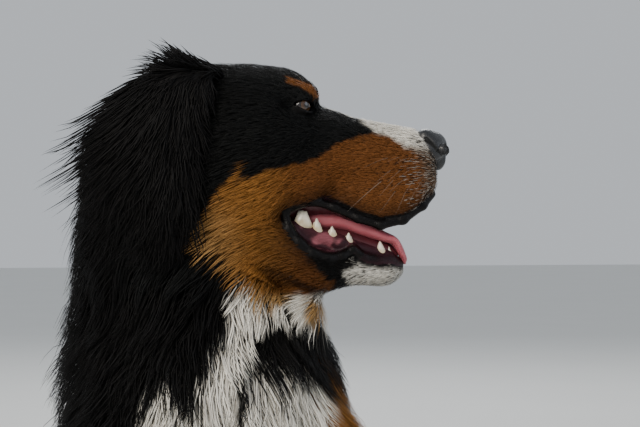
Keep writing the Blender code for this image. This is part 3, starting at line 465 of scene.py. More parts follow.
class Flesh:
    """The smooth blend of many masses, read cell by cell so that far masses cost nothing."""

    CELL = 0.10
    SLOPE_STEP = 0.0005
    LIE_REACH = 0.022

    def __init__(self, masses: list[Mass]) -> None:
        """Keeps the masses in blending order.

        Args:
            masses: the masses that blend.
        """
        self.masses = masses
        self.near: dict[tuple, list[Mass]] = {}
        self.lies = {id(mass): np.array(Vector(mass.lie).normalized()) for mass in masses}

    def cells(self, points: Array) -> list[tuple[Array, list[Mass]]]:
        """Parts the points into cells.

        Args:
            points: rows of x, y and z.

        Returns:
            For each cell the indices of its points and the masses that reach it.
        """
        keys = np.floor(points / self.CELL).astype(np.int64) + 512
        code = (keys[:, 0] * 1024 + keys[:, 1]) * 1024 + keys[:, 2]
        order = np.argsort(code, kind="stable")
        edges = np.flatnonzero(np.diff(code[order])) + 1
        found = []
        for index in np.split(order, edges):
            if not len(index):
                continue
            key = keys[index[0]] - 512
            name = tuple(key)
            if name not in self.near:
                self.near[name] = self.reaching((key + 0.5) * self.CELL, self.CELL)
            found.append((index, self.near[name]))
        return found

    def reaching(self, middle: Array, cell: float) -> list[Mass]:
        """The masses that can matter in a cell of the given size round a point.

        Args:
            middle: the cell's middle.
            cell: its side in metres.

        Returns:
            Those masses, in blending order.
        """
        reach = cell * 0.87 * 1.25
        apart = [float(mass.distance(middle[None])[0]) for mass in self.masses]
        least = min(value for value, mass in zip(apart, self.masses) if not mass.dent)
        return [
            mass
            for value, mass in zip(apart, self.masses)
            if value - mass.coat <= (0.0 if mass.dent else least) + 2 * reach + mass.blend
        ]

    def blended(self, masses: list[Mass], apart: list[Array]) -> Array:
        """Blends the distances from some masses.

        Args:
            masses: the masses, in blending order.
            apart: the distances of the same points from each.

        Returns:
            One signed distance a point.
        """
        blend = None
        for mass, own in zip(masses, apart):
            own = -own if mass.dent else own
            if blend is None:
                blend = own
                continue
            near = np.maximum(mass.blend - np.abs(blend - own), 0.0)
            near *= near * (0.25 / mass.blend)
            blend = np.maximum(blend, own) + near if mass.dent else np.minimum(blend, own) - near
        return blend

    def distance(self, points: Array) -> Array:
        """Distance of the points from the blend.

        Args:
            points: rows of x, y and z.

        Returns:
            One distance a point.
        """
        total = np.empty(len(points), np.float32)
        for index, masses in self.cells(points):
            here = points[index].astype(np.float32)
            total[index] = self.blended(masses, [mass.distance(here) for mass in masses])
        return total

    def slope(self, points: Array) -> tuple[Array, Array, Array]:
        """Distance, outward unit direction and steepness at the points, from four samples close by.

        Args:
            points: rows of x, y and z.

        Returns:
            The distances, the directions and the steepness.
        """
        corners = np.array([(1, -1, -1), (-1, -1, 1), (-1, 1, -1), (1, 1, 1)], np.float32)
        total = np.empty((4, len(points)), np.float32)
        for index, masses in self.cells(points):
            here = (points[index][None] + self.SLOPE_STEP * corners[:, None]).reshape(-1, 3)
            here = here.astype(np.float32)
            blend = self.blended(masses, [mass.distance(here) for mass in masses])
            total[:, index] = blend.reshape(4, -1)
        gradient = total.T @ corners / (4 * self.SLOPE_STEP)
        length = np.maximum(np.linalg.norm(gradient, axis=1), 1e-6)
        return total.mean(axis=0), gradient / length[:, None], length

    def settle(self, points: Array, rounds: int) -> tuple[Array, Array]:
        """Moves points onto the blended surface.

        Args:
            points: rows of x, y and z.
            rounds: how many steps to take.

        Returns:
            The moved points and the outward directions found last.
        """
        outward = points
        for _ in range(rounds):
            distance, outward, length = self.slope(points)
            move = np.clip(distance / np.maximum(length, 0.5), -0.01, 0.01)
            points = points - move[:, None] * outward
        return points, outward

    def readings(self, masses: list[Mass], points: Array) -> Array:
        """Reads skin distance, coat depth and lie of the hair at points near some masses.

        Args:
            masses: the masses that reach the points.
            points: rows of x, y and z.

        Returns:
            Rows of distance, depth and the lie's x, y and z.
        """
        apart = [mass.distance(points) for mass in masses]
        solid = [i for i, mass in enumerate(masses) if not mass.dent]
        close = np.stack([apart[i] for i in solid])
        shares = np.exp((close.min(axis=0) - close) / self.LIE_REACH)
        shares /= shares.sum(axis=0)
        rows = np.empty((len(points), 5), np.float32)
        rows[:, 0] = self.blended(masses, apart)
        rows[:, 1] = shares.T @ np.array([masses[i].coat for i in solid])
        rows[:, 2:] = shares.T @ np.array([self.lies[id(masses[i])] for i in solid])
        return rows


class Chart:
    """Readings of the flesh on an even grid, for the many steps of combing."""

    BLOCK = 12

    def __init__(self, flesh: Flesh, low: tuple, high: tuple, step: float, reach: float) -> None:
        """Reads the flesh.

        Args:
            flesh: the masses.
            low: the grid's lowest corner.
            high: the grid's highest corner.
            step: the grid's spacing in metres.
            reach: how far from the skin the readings matter.
        """
        self.low, self.step = np.array(low), step
        blocks = np.ceil((np.array(high) - self.low) / (step * self.BLOCK)).astype(int)
        self.size = blocks * self.BLOCK
        self.values = np.zeros((*self.size, 8), np.float32)
        inner = np.stack(np.meshgrid(*[np.arange(self.BLOCK)] * 3, indexing="ij"), axis=-1).reshape(-1, 3)
        half = self.BLOCK * step / 2
        for key in np.ndindex(*blocks):
            corner = np.array(key) * self.BLOCK
            middle = self.low + corner * step + half
            far = float(flesh.distance(middle[None])[0])
            first = tuple(slice(c, c + self.BLOCK) for c in corner)
            self.values[(*first, 0)] = far
            if abs(far) > half * 1.8 + reach:
                continue
            points = (self.low + (corner + inner) * step).astype(np.float32)
            rows = flesh.readings(flesh.reaching(middle, half * 2), points)
            block = rows.reshape(self.BLOCK, self.BLOCK, self.BLOCK, 5)
            self.values[(*first, 0)] = block[..., 0]
            self.values[(*first, slice(4, 8))] = block[..., 1:]
        for axis, slope in enumerate(np.gradient(self.values[..., 0], step)):
            self.values[..., 1 + axis] = slope
        self.values = self.values.reshape(-1, 8)

    def read(self, points: Array) -> tuple[Array, Array, Array, Array]:
        """Distance from the skin, outward direction, depth of the coat and lie of the hair at the points.

        Args:
            points: rows of x, y and z.

        Returns:
            The four readings, one row a point.
        """
        place = np.clip((points - self.low) / self.step, 0, self.size - 1.01)
        base = place.astype(int)
        part = (place - base).astype(np.float32)
        strides = np.array([self.size[1] * self.size[2], self.size[2], 1])
        first = base @ strides
        rows = np.zeros((len(points), 8), np.float32)
        for corner in np.ndindex(2, 2, 2):
            weight = np.where(corner, part, 1 - part).prod(axis=1)
            rows += self.values[first + int(np.dot(corner, strides))] * weight[:, None]
        outward = rows[:, 1:4] / np.maximum(np.linalg.norm(rows[:, 1:4], axis=1), 1e-6)[:, None]
        return rows[:, 0], outward, rows[:, 4], rows[:, 5:]


# Mesh helpers


def placed(name: str, mesh: bpy.types.Mesh) -> Object:
    """Puts a mesh in the scene, smooth, as an object at the origin.

    Args:
        name: the object's name.
        mesh: its mesh.

    Returns:
        The object.
    """
    obj = bpy.data.objects.new(name, mesh)
    bpy.context.scene.collection.objects.link(obj)
    mesh.polygons.foreach_set("use_smooth", np.ones(len(mesh.polygons), bool))
    return obj


def mesh_of(name: str, points: Array, faces: list) -> Object:
    """A smooth mesh object from points and faces.

    Args:
        name: the object's name.
        points: rows of x, y and z.
        faces: the corners of each face.

    Returns:
        The object.
    """
    mesh = bpy.data.meshes.new(name)
    mesh.from_pydata([tuple(point) for point in points], [], faces)
    mesh.update()
    return placed(name, mesh)


def modified(obj: Object, kind: str, **settings: float | str | Object) -> Object:
    """Bakes a modifier into an object's mesh.

    Args:
        obj: the object.
        kind: the modifier's type.
        settings: its settings by name.

    Returns:
        The same object with the new mesh.
    """
    modifier = obj.modifiers.new(kind, kind)
    for name, value in settings.items():
        setattr(modifier, name, value)
    graph = bpy.context.evaluated_depsgraph_get()
    mesh = bpy.data.meshes.new_from_object(obj.evaluated_get(graph))
    old = obj.data
    obj.modifiers.clear()
    obj.data = mesh
    bpy.data.meshes.remove(old)
    return obj


def coordinates(obj: Object) -> Array:
    """The places of an object's vertices.

    Args:
        obj: a mesh object.

    Returns:
        Rows of x, y and z, in metres.
    """
    flat = np.empty(len(obj.data.vertices) * 3, np.float32)
    obj.data.vertices.foreach_get("co", flat)
    return flat.reshape(-1, 3).astype(float)


def move_to(obj: Object, points: Array) -> None:
    """Gives the object's vertices new places."""
    obj.data.vertices.foreach_set("co", points.astype(np.float32).ravel())
    obj.data.update()


def discard(obj: Object) -> None:
    """Removes an object and its mesh.

    Args:
        obj: a mesh object that nothing else needs.
    """
    mesh = obj.data
    bpy.data.objects.remove(obj)
    bpy.data.meshes.remove(mesh)


def remeshed(obj: Object, voxel: float) -> Object:
    """Joins whatever overlaps in the object into one skin of even faces."""
    return modified(obj, "REMESH", mode="VOXEL", voxel_size=voxel, use_smooth_shade=True)


def boolean(obj: Object, other: Object, operation: str) -> Object:
    """Cuts or crosses the object with another, which is then removed.

    Args:
        obj: the object that stays.
        other: the object to cut or cross it with.
        operation: DIFFERENCE cuts, INTERSECT crosses.

    Returns:
        The object that stays.
    """
    modified(obj, "BOOLEAN", operation=operation, solver="MANIFOLD", object=other)
    discard(other)
    return obj


def outward_faces(obj: Object) -> Object:
    """Turns every face of the object outward.

    Args:
        obj: a closed mesh object.

    Returns:
        The same object.
    """
    build = bmesh.new()
    build.from_mesh(obj.data)
    bmesh.ops.recalc_face_normals(build, faces=build.faces)
    if build.calc_volume(signed=True) < 0:
        bmesh.ops.reverse_faces(build, faces=build.faces)
    build.to_mesh(obj.data)
    build.free()
    return obj


def loft(name: str, rings: Array | list) -> Object:
    """A closed skin through rings of points, with its two ends filled.

    Args:
        name: the object's name.
        rings: rings of as many points each.

    Returns:
        The object.
    """
    count = len(rings[0])
    faces = [tuple(reversed(range(count)))]
    for i in range(len(rings) - 1):
        for j in range(count):
            k = (j + 1) % count
            faces.append((i * count + j, i * count + k, (i + 1) * count + k, (i + 1) * count + j))
    faces.append(tuple(range((len(rings) - 1) * count, len(rings) * count)))
    return outward_faces(mesh_of(name, [point for ring in rings for point in ring], faces))


def gathered(name: str, pieces: list[Object]) -> Object:
    """Puts loose pieces, with their materials, into one object.

    Args:
        name: the new object's name.
        pieces: the pieces, which are then removed.

    Returns:
        The new object.
    """
    build = bmesh.new()
    for piece in pieces:
        build.from_mesh(piece.data)
    mesh = bpy.data.meshes.new(name)
    build.to_mesh(mesh)
    build.free()
    for material in pieces[0].data.materials:
        mesh.materials.append(material)
    for piece in pieces:
        discard(piece)
    return placed(name, mesh)


def unit_sphere(segments: int, rings: int) -> tuple[Array, list]:
    """Points and faces of a sphere of radius one.

    Args:
        segments: steps round it.
        rings: steps from pole to pole.

    Returns:
        The points and the corners of each face.
    """
    build = bmesh.new()
    bmesh.ops.create_uvsphere(build, u_segments=segments, v_segments=rings, radius=1.0)
    points = np.array([vert.co[:] for vert in build.verts])
    faces = [[vert.index for vert in face.verts] for face in build.faces]
    build.free()
    return points, faces


def blockout(name: str, masses: list[Mass]) -> Object:
    """Overlapping spheres that fill the masses.

    Args:
        name: the object's name.
        masses: the masses to fill.

    Returns:
        The object.
    """
    sphere, sphere_faces = unit_sphere(16, 10)
    points, faces = [], []
    for mass in masses:
        if mass.dent:
            continue
        for centre, radii, turn in mass.rough():
            first = len(sphere) * len(points)
            points.append((sphere * np.array(radii)) @ np.array(turn).T + np.array(centre))
            faces += [[first + corner for corner in face] for face in sphere_faces]
    return mesh_of(name, np.concatenate(points), faces)


def fleshed(name: str, flesh: Flesh, voxel: float) -> Object:
    """One closed skin settled on the blend of the masses.

    Args:
        name: the object's name.
        flesh: the masses.
        voxel: the size of its faces in metres.

    Returns:
        The skin, in the masses' own space.
    """
    obj = remeshed(blockout(name, flesh.masses), voxel)
    for rounds in (3, 2):
        points, _ = flesh.settle(coordinates(obj), rounds)
        move_to(obj, points)
        remeshed(obj, voxel)
    points, _ = flesh.settle(coordinates(obj), 1)
    move_to(obj, points)
    return obj


def grown(outline: tuple, distance: float) -> list[tuple[float, float]]:
    """A convex outline, listed clockwise, with every edge moved outward by the distance.

    Args:
        outline: its corners.
        distance: how far, in the outline's unit.

    Returns:
        The moved corners.
    """
    corners = [Vector(corner) for corner in outline]
    moved = []
    for before, corner, after in zip(corners[-1:] + corners[:-1], corners, corners[1:] + corners[:1]):
        first, second = (corner - before).normalized(), (after - corner).normalized()
        first_out, second_out = Vector((-first.y, first.x)), Vector((-second.y, second.x))
        middle = (first_out + second_out).normalized()
        moved.append(tuple(corner + middle * distance / max(middle.dot(first_out), 0.2)))
    return moved


def head_prism(name: str, grow: float = 0.0) -> Object:
    """A block across the head that holds it down to where the neck's coat takes over.

    Args:
        name: the object's name.
        grow: millimetres by which its side view grows.

    Returns:
        The object.
    """
    outline = grown(HEAD_SIDE, grow)
    points = [head_point(forward, across, up) for across in (-300, 300) for forward, up in outline]
    count = len(outline)
    faces = [tuple(range(count)), tuple(range(2 * count - 1, count - 1, -1))]
    faces += [(i, i + count, (i + 1) % count + count, (i + 1) % count) for i in range(count)]
    return outward_faces(mesh_of(name, points, faces))


def block(name: str, low: tuple, high: tuple) -> Object:
    """A plain block for cutting, given by its corners.

    Args:
        name: the object's name.
        low: the lowest corner.
        high: the highest corner.

    Returns:
        The object.
    """
    build = bmesh.new()
    bmesh.ops.create_cube(build, size=1.0)
    bmesh.ops.scale(build, verts=build.verts, vec=Vector(high) - Vector(low))
    bmesh.ops.translate(build, verts=build.verts, vec=(Vector(high) + Vector(low)) / 2)
    mesh = bpy.data.meshes.new(name)
    build.to_mesh(mesh)
    build.free()
    return placed(name, mesh)


# Colours and markings


def linear(code: str) -> Array:
    """Linear red, green and blue of an sRGB hex colour."""
    values = np.array([int(code[i : i + 2], 16) / 255 for i in (1, 3, 5)])
    return np.where(values <= 0.04045, values / 12.92, ((values + 0.055) / 1.055) ** 2.4)


def smooth(low: float, high: float, values: Array) -> Array:
    """0 at low, 1 at high and an even change between, whichever of the two is greater."""
    share = np.clip((values - low) / (high - low), 0.0, 1.0)
    return share * share * (3 - 2 * share)


def ripple(points: Array, size: float, seed: float) -> Array:
    """A soft irregular wobble from -1 to 1 with features of about the given size.

    Args:
        points: rows of three coordinates.
        size: the features' size in the same unit.
        seed: which wobble.

    Returns:
        One value a point.
    """
    total = np.zeros(len(points))
    for i in range(5):
        turn = seed * 1.7 + i * 2.399
        way = np.array([math.cos(turn), math.sin(turn * 1.31), math.sin(turn) * math.cos(turn * 0.7)])
        way /= np.linalg.norm(way)
        total += np.sin(points @ way * (2 * math.pi / (size * (0.8 + 0.35 * i))) + seed * (i + 1))
    return total / 5 * 1.6


def beyond(outline: tuple, across: Array, up: Array) -> Array:
    """Signed distance from a closed outline, negative inside.

    Args:
        outline: corners in order.
        across: first coordinates of the points.
        up: second coordinates of the points.

    Returns:
        One distance a point, in the outline's unit.
    """
    closed = (*outline, outline[0])
    inside = np.zeros(len(across), bool)
    for (start, low), (end, high) in zip(closed, closed[1:]):
        with np.errstate(divide="ignore", invalid="ignore"):
            reach = start + (up - low) / (high - low) * (end - start)
        inside ^= ((low > up) != (high > up)) & (across < reach)
    nearest = from_line(closed, np.stack([across, up], axis=1))
    return np.where(inside, -nearest, nearest)


def from_line(line: tuple | list, points: Array) -> Array:
    """Distance of points from a line of straight stretches, in the same space.

    Args:
        line: the line's corners.
        points: rows of as many coordinates as a corner has.

    Returns:
        One distance a point.
    """
    corners = np.array(line, float)
    nearest = np.full(len(points), 1e9)
    for start, end in zip(corners, corners[1:]):
        along = end - start
        share = np.clip((points - start) @ along / (along @ along), 0, 1)
        nearest = np.minimum(nearest, np.linalg.norm(points - start - share[:, None] * along, axis=1))
    return nearest


@dataclass(frozen=True)
class CoatColours:
    """The colours of a tricolour coat and of its bare skin."""

    black: str = "#090808"
    # Lighter than the body's black by a painted sheen, standing in for the bluish gleam of the short face fur
    face_black_with_painted_sheen: str = "#111212"
    rust: str = "#744722"
    tan: str = "#95652f"
    gold: str = "#b08b58"
    white: str = "#f3efe4"
    grizzle: str = "#6d5a49"
    pepper: str = "#1b1817"
    lip: str = "#0a0808"
    gum: str = "#a4606a"
    dark_gum: str = "#2c171d"
    throat: str = "#4a2228"
    lid: str = "#080606"


# Side views of markings on the head, in millimetres forward and up
TAN_CHEEK = (
    (-8, -18), (-15, -52), (-6, -37), (16, -28), (46, -20), (66, -14), (86, -4), (95, 4), (114, 11),
    (138, 18), (164, 16), (190, 4), (207, -20), (216, -60), (190, -90), (150, -100), (110, -100),
    (96, -140), (88, -170), (30, -180), (-20, -152), (-45, -129), (-76, -107),
)
BROW_SPOT = ((43, 80), (58, 76), (72, 69), (80, 62), (77, 56), (66, 63), (54, 70), (43, 73))
WHITE_MUZZLE = (
    (122, 60), (126, 30), (138, 21), (149, 17), (161, 11), (181, 0), (198, -4), (206, 0), (206, 60),
)
GREY_FRONT = ((180, 2), (190, -14), (196, -40), (200, -66), (240, -66), (240, 2))
WHITE_CHIN = ((104, -136), (128, -128), (170, -126), (190, -140), (190, -170), (120, -170))
BLACK_JAW = (
    (36, -60), (56, -96), (70, -128), (88, -146), (104, -146), (124, -132), (170, -124), (170, -110),
    (60, -60),
)
# The same views of markings on the throat and breast, as they look from the dog's right
WHITE_BIB = (
    (-32, -148), (-20, -150), (-8, -153), (2, -170), (16, -190), (46, -157), (56, -155), (88, -165),
    (99, -190), (97, -210), (86, -218), (72, -226), (56, -218), (36, -208), (23, -210), (15, -222),
    (2, -246), (-3, -267), (-11, -288), (-18, -313), (-50, -313), (-53, -294), (-45, -275), (-37, -258),
    (-28, -235), (-28, -210), (-29, -176),
)
WHITE_BREAST = (
    (-133, -336), (-122, -310), (-111, -301), (-88, -298), (-68, -312), (-50, -310), (-16, -310),
    (2, -296), (15, -282), (27, -272), (41, -282), (52, -269), (69, -263), (90, -275), (95, -314),
    (49, -409), (-107, -409),
)
BLACK_PATCH = (
    (23, -208), (36, -206), (56, -216), (72, -224), (88, -216), (113, -220), (120, -260), (107, -274),
    (90, -278), (69, -267), (52, -272), (41, -286), (27, -275), (15, -286), (2, -300), (-16, -313),
    (-11, -288), (-3, -267), (2, -246), (15, -222),
)
GOLD_THROAT = ((-16, -133), (48, -154), (16, -192), (0, -172), (-11, -153))
GOLD_STRIPE = ((63, -170), (88, -172), (86, -194), (77, -210), (66, -194))
# A line of painted shadow along the lower edge of the jaw, in millimetres forward, out and up
JAW_SHADOW_LINE = ((20, 0, -132), (50, 0, -148), (88, 0, -163))
# Where those views are taken from: the distance, and the place straight ahead
VIEW_DISTANCE = 1900.0
VIEW_MIDDLE = (79.1, -71.8)


def within(view: tuple[Array, Array], inner: float, outer: float, waver: Array, *outlines: tuple) -> Array:
    """1 inside the outlines of a side view and 0 outside, with a soft and wavering border.

    Args:
        view: how far forward and how far up the points lie.
        inner: the distance from the border, negative inside, up to which it is 1.
        outer: the distance from which it is 0.
        waver: what is added to each point's distance.
        outlines: closed outlines, of which one has to hold the point.

    Returns:
        One share a point.
    """
    nearest = np.minimum.reduce([beyond(outline, *view) for outline in outlines])
    return 1 - smooth(inner, outer, nearest + waver)


def over(colour: Array, shade: Array, share: Array) -> Array:
    """The colours with a shade laid over them by a share at each point."""
    return colour + (shade - colour) * share[:, None]


def side_view(points: Array) -> tuple[Array, Array]:
    """Points as they look from the dog's right, thrown on the middle plane of the head.

    Args:
        points: rows of x, y and z.

    Returns:
        How far forward and how far up each lies, in the head's millimetres.
    """
    head = head_space(points)
    nearness = VIEW_DISTANCE / (VIEW_DISTANCE + head[:, 1])
    ahead, level = VIEW_MIDDLE
    return ahead + (head[:, 0] - ahead) * nearness, level + (head[:, 2] - level) * nearness


class Markings:
    """Where the coat is black, tan and white, and where the skin is bare."""

    def __init__(self, colours: CoatColours) -> None:
        """Keeps the colours and both lips' lines.

        Args:
            colours: the colours of the coat and the bare skin.
        """
        self.colours = colours
        self.lips = [on_side(line, side) for side in Side for line in (UPPER_LIP, LOWER_LIP)]
        self.upper = np.array(UPPER_LIP, float).T
        self.lower = np.array(LOWER_LIP, float).T

    def shade(self, name: str) -> Array:
        """One of the coat's colours, linear."""
        return linear(getattr(self.colours, name))

    def lip_distance(self, head: Array) -> Array:
        """Distance from the rolled edges of the lips, in millimetres."""
        return np.minimum.reduce([from_line(line, head) for line in self.lips])

    def mouth(self, head: Array) -> Array:
        """The bare skin inside the mouth.

        Args:
            head: points in the head's millimetres.

        Returns:
            1 at the points inside and 0 outside.
        """
        forward, across, up = head[:, 0], np.abs(head[:, 1]), head[:, 2]
        bed = self.under_lip(forward)
        roof = np.interp(forward, self.upper[0], self.upper[2])
        above = (across < np.interp(forward, *self.upper[:2]) - 1.0) & (up < roof + 42)
        above &= (up > bed - 5) & (forward < 199) & (forward > 38)
        below = (across < np.interp(forward, *self.lower[:2])) & (up > bed - 3)
        below &= (up < roof + 10) & (forward < 161) & (forward > 38)
        return (above | below).astype(float)

    def bare(self, points: Array) -> Array:
        """1 on bare skin, such as lips and lids, and 0 under the coat.

        Args:
            points: rows of x, y and z.

        Returns:
            One share a point.
        """
        head = head_space(points)
        lips = 1 - smooth(4.5, 8.0, self.lip_distance(head))
        lids = np.zeros(len(head))
        for side in Side:
            centre = np.array(eye_centre(side))
            lids = np.maximum(lids, 1 - smooth(14.2, 16.5, np.linalg.norm(head - centre, axis=1)))
        nose = smooth(-2.0, 1.0, (head[:, 0] - 201) + (head[:, 2] - 2) * 0.55) * (head[:, 2] > -30)
        return np.maximum.reduce([lips, lids, nose, self.mouth(head)])

    def warm(self, forward: Array, up: Array, lip: Array) -> Array:
        """The tan of the head: rust before the cheek, paler at the throat, dark at lips and jaw, with a
        painted shadow along the jaw's lower edge.

        Args:
            forward: how far forward the points lie.
            up: how far up.
            lip: how far from the lips.

        Returns:
            One linear colour a point.
        """
        rust, tan, gold = self.shade("rust"), self.shade("tan"), self.shade("gold")
        warm = rust + (tan - rust) * smooth(70, 0, forward)[:, None]
        pale = (smooth(10, -50, forward) * smooth(-40, -100, up))[:, None]
        warm = warm + (gold - warm) * pale * 0.7
        warm = warm * (0.5 + 0.5 * smooth(9.0, 30.0, lip))[:, None]
        under = smooth(-5, 30, forward) * smooth(-72, -105, up)
        warm = warm * (1 - 0.35 * np.clip(under, 0, 1))[:, None]
        # Painted shadow: a dark band along the jaw's lower edge, where the cheek meets the throat
        fold = from_line(JAW_SHADOW_LINE, np.stack([forward, forward * 0, up], axis=1))
        return warm * (1 - 0.75 * (1 - smooth(1.0, 5.0, fold)))[:, None]

    def head_colour(self, points: Array) -> Array:
        """Colours on the head, throat and upper neck.

        Args:
            points: rows of x, y and z.

        Returns:
            One linear colour a point.
        """
        head = head_space(points)
        forward, across, up = head[:, 0], np.abs(head[:, 1]), head[:, 2]
        view, lip = (forward, up), self.lip_distance(head)
        black, white = self.shade("black"), self.shade("white")
        wobble = ripple(head, 14.0, 1.3) * 2.2 + ripple(head, 5.0, 2.1) * 1.2
        flank = smooth(14.0, 20.0, across + np.clip(-up - 20, 0, 60) * 0.4)
        tan = within(view, -2.5, 2.5, wobble, TAN_CHEEK) * flank * (1 - smooth(64, 74, head[:, 1]))
        # The face's black is lifted by a painted sheen
        colour = np.tile(self.shade("face_black_with_painted_sheen"), (len(head), 1))
        colour = over(colour, self.warm(forward, up, lip), tan)
        colour = over(colour, black, self.whisker_spots(forward, up) * tan * 0.8)
        brow = within(view, -1.5, 2.0, wobble * 0.4, BROW_SPOT) * smooth(12, 17, across)
        colour = over(colour, self.shade("rust") * 1.1, brow)
        blaze = 1 - smooth(2.0, 5.0, across + np.clip(100 - forward, 0, 60) * 0.05)
        blaze = blaze * smooth(62, 76, forward) * smooth(10, 30, up)
        muzzle = within(view, -2.5, 3.0, wobble, WHITE_MUZZLE)
        colour = over(colour, white, np.maximum(muzzle, blaze))
        colour = over(colour, self.shade("grizzle"), within(view, -10, 8, wobble, GREY_FRONT) * 0.85)
        snout = (1 - smooth(6.0, 17.0, across)) * smooth(184, 196, forward) * smooth(-74, -62, up)
        colour = over(colour, white, snout * 0.55)
        colour = over(colour, black, (1 - smooth(8.0, 11.0, lip)) * (forward > 36))
        bed = self.under_lip(forward)
        jaw = (up < -62) & (forward < 172) & (lip < 26) & (up < bed)
        colour = over(colour, black, within(view, -2.0, 4.0, wobble, BLACK_JAW) * jaw)
        chin = within(view, -3.0, 4.0, wobble, WHITE_CHIN) * smooth(bed - 5, bed - 13, up)
        return over(colour, white, chin * 0.8)

    def whisker_spots(self, forward: Array, up: Array) -> Array:
        """1 on the dark spots at the roots of the whiskers, in four slanting rows.

        Args:
            forward: how far forward the points lie.
            up: how far up.

        Returns:
            One share a point.
        """
        near = np.full(len(forward), 1e9)
        for row, i in np.ndindex(4, 6):
            ahead, level = forward - (188 - i * 8.5 - row * 4), up + 12 + row * 8.5 + i * 1.5
            near = np.minimum(near, np.hypot(ahead, level))
        return 1 - smooth(0.9, 1.9, near)

    def grizzle(self, points: Array) -> Array:
        """How much light and dark hairs mix at each point, as on the front of the muzzle and the chin.

        Args:
            points: rows of x, y and z.

        Returns:
            One share a point.
        """
        forward, _, up = head_space(points).T
        muzzle = smooth(160, 196, forward) * smooth(22, 4, up) * smooth(-100, -85, up)
        chin = smooth(98, 112, forward) * smooth(-112, -120, up) * smooth(-160, -150, up)
        return np.maximum(muzzle * 0.9, chin * 0.75)

    def under_lip(self, forward: Array) -> Array:
        """The height of the lower lip at each place forward."""
        return np.interp(forward, self.lower[0], self.lower[2])

    def body_colour(self, points: Array) -> Array:
        """Colours behind the head.

        Args:
            points: rows of x, y and z.

        Returns:
            One linear colour a point.
        """
        x, y, z = points.T
        wobble = ripple(points, 0.05, 3.1) * 0.008 + ripple(points, 0.018, 4.3) * 0.004
        tan, white = self.shade("tan"), self.shade("white")
        ahead = smooth(-0.10, -0.16, y + wobble)
        view = side_view(points)
        forward, up = view
        waver = wobble * 1000
        wide = beyond(WHITE_BREAST, (forward + 19) * 0.8 - 19, up + 10)
        beside = 1 - smooth(-6, 10, wide + waver - 12)
        beside = beside * np.where(forward < -19, smooth(-348, -368, up), 1.0)
        colour = over(np.tile(self.shade("black"), (len(points), 1)), tan, beside * ahead)
        bib = within(view, -4, 5, waver * 0.5, WHITE_BIB, WHITE_BREAST)
        belly = smooth(0.14, 0.10, z) * (1 - smooth(0.05, 0.075, np.abs(x + 0.010) + wobble)) * (y < -0.05)
        colour = over(colour, white, np.maximum(bib, belly) * ahead)
        gold = within(view, -5, 5, waver * 0.4, GOLD_THROAT, GOLD_STRIPE)
        colour = over(colour, self.shade("gold") * 0.85, gold * ahead)
        colour = over(colour, self.shade("black"), within(view, -3, 5, waver * 0.5, BLACK_PATCH) * ahead)
        for side in Side:
            colour = self.leg_colour(points, colour, side, wobble)
        tip = smooth(0.225, 0.25, x + wobble) * (y > 0.55)
        under = smooth(0.07, 0.045, z) * smooth(0.53, 0.56, y) * (1 - tip)
        return over(over(colour, tan, under * 0.6), white, tip)

    def leg_colour(self, points: Array, colour: Array, side: Side, wobble: Array) -> Array:
        """Tan legs and white paws over what the body has there.

        Args:
            points: rows of x, y and z.
            colour: the colours so far.
            side: which legs.
            wobble: how the borders waver.

        Returns:
            The colours with this side's legs.
        """
        x, y, z = points.T
        s = side.value
        tan, white = self.shade("tan") * 0.85, self.shade("white")
        leg = (np.abs(x - (-0.010 + s * 0.114)) < 0.062) & (z < 0.11)
        fore = smooth(0.01, -0.05, y + wobble) * smooth(0.115, 0.085, z + wobble) * leg
        paw = smooth(-0.325, -0.345, y + wobble) * (z < 0.09)
        foot = (np.abs(x - (0.046 + s * 0.150)) < 0.055) & (y > 0.19) & (z < 0.075)
        hind = foot * smooth(0.50, 0.44, y + wobble) * smooth(0.078, 0.06, z + wobble)
        toes = foot * smooth(0.335, 0.315, y + wobble)
        return over(over(over(over(colour, tan, fore), white, paw), tan, hind), white, toes)

    def coat(self, points: Array) -> Array:
        """The coat's colour at every point, linear.

        Args:
            points: rows of x, y and z.

        Returns:
            One linear colour a point.
        """
        head = head_space(points)
        near = smooth(-168, -156, head[:, 2] + ripple(head, 16.0, 5.5) * 4) * smooth(-150, -120, head[:, 0])
        body, face = self.body_colour(points), self.head_colour(points)
        return np.maximum(body + (face - body) * near[:, None], 0.0)

    def hide(self, points: Array) -> Array:
        """The skin's colour at every point: the coat's colour darkened by painted shade under the fur, or
        lips, gums and lids.

        Args:
            points: rows of x, y and z.

        Returns:
            One linear colour a point.
        """
        head = head_space(points)
        # Painted shade: under the coat the skin is a darker copy of the coat's colour, so that the gaps
        # between tufts look shadowed
        colour = self.coat(points) * 0.8
        bare = self.bare(points)[:, None]
        inner = self.mouth(head)
        lip = self.lip_distance(head)
        patch = np.hypot((head[:, 0] - 86) / 15, (head[:, 2] + 101) / 7.5) + ripple(head, 9.0, 7.7) * 0.3
        spots = smooth(1.15, 0.7, patch) * 0.9 + smooth(0.5, 1.0, ripple(head, 7.0, 3.3)) * 0.15
        gum = self.shade("dark_gum") + (self.shade("gum") - self.shade("dark_gum")) * spots[:, None]
        deep = smooth(10, 22, lip)[:, None]
        gum = gum + (self.shade("throat") - gum) * deep * 0.5
        skin = np.tile(self.shade("lip"), (len(points), 1))
        skin += (gum - skin) * (inner * smooth(4.5, 9.0, lip))[:, None]
        return colour + (skin - colour) * bare


# Finishes


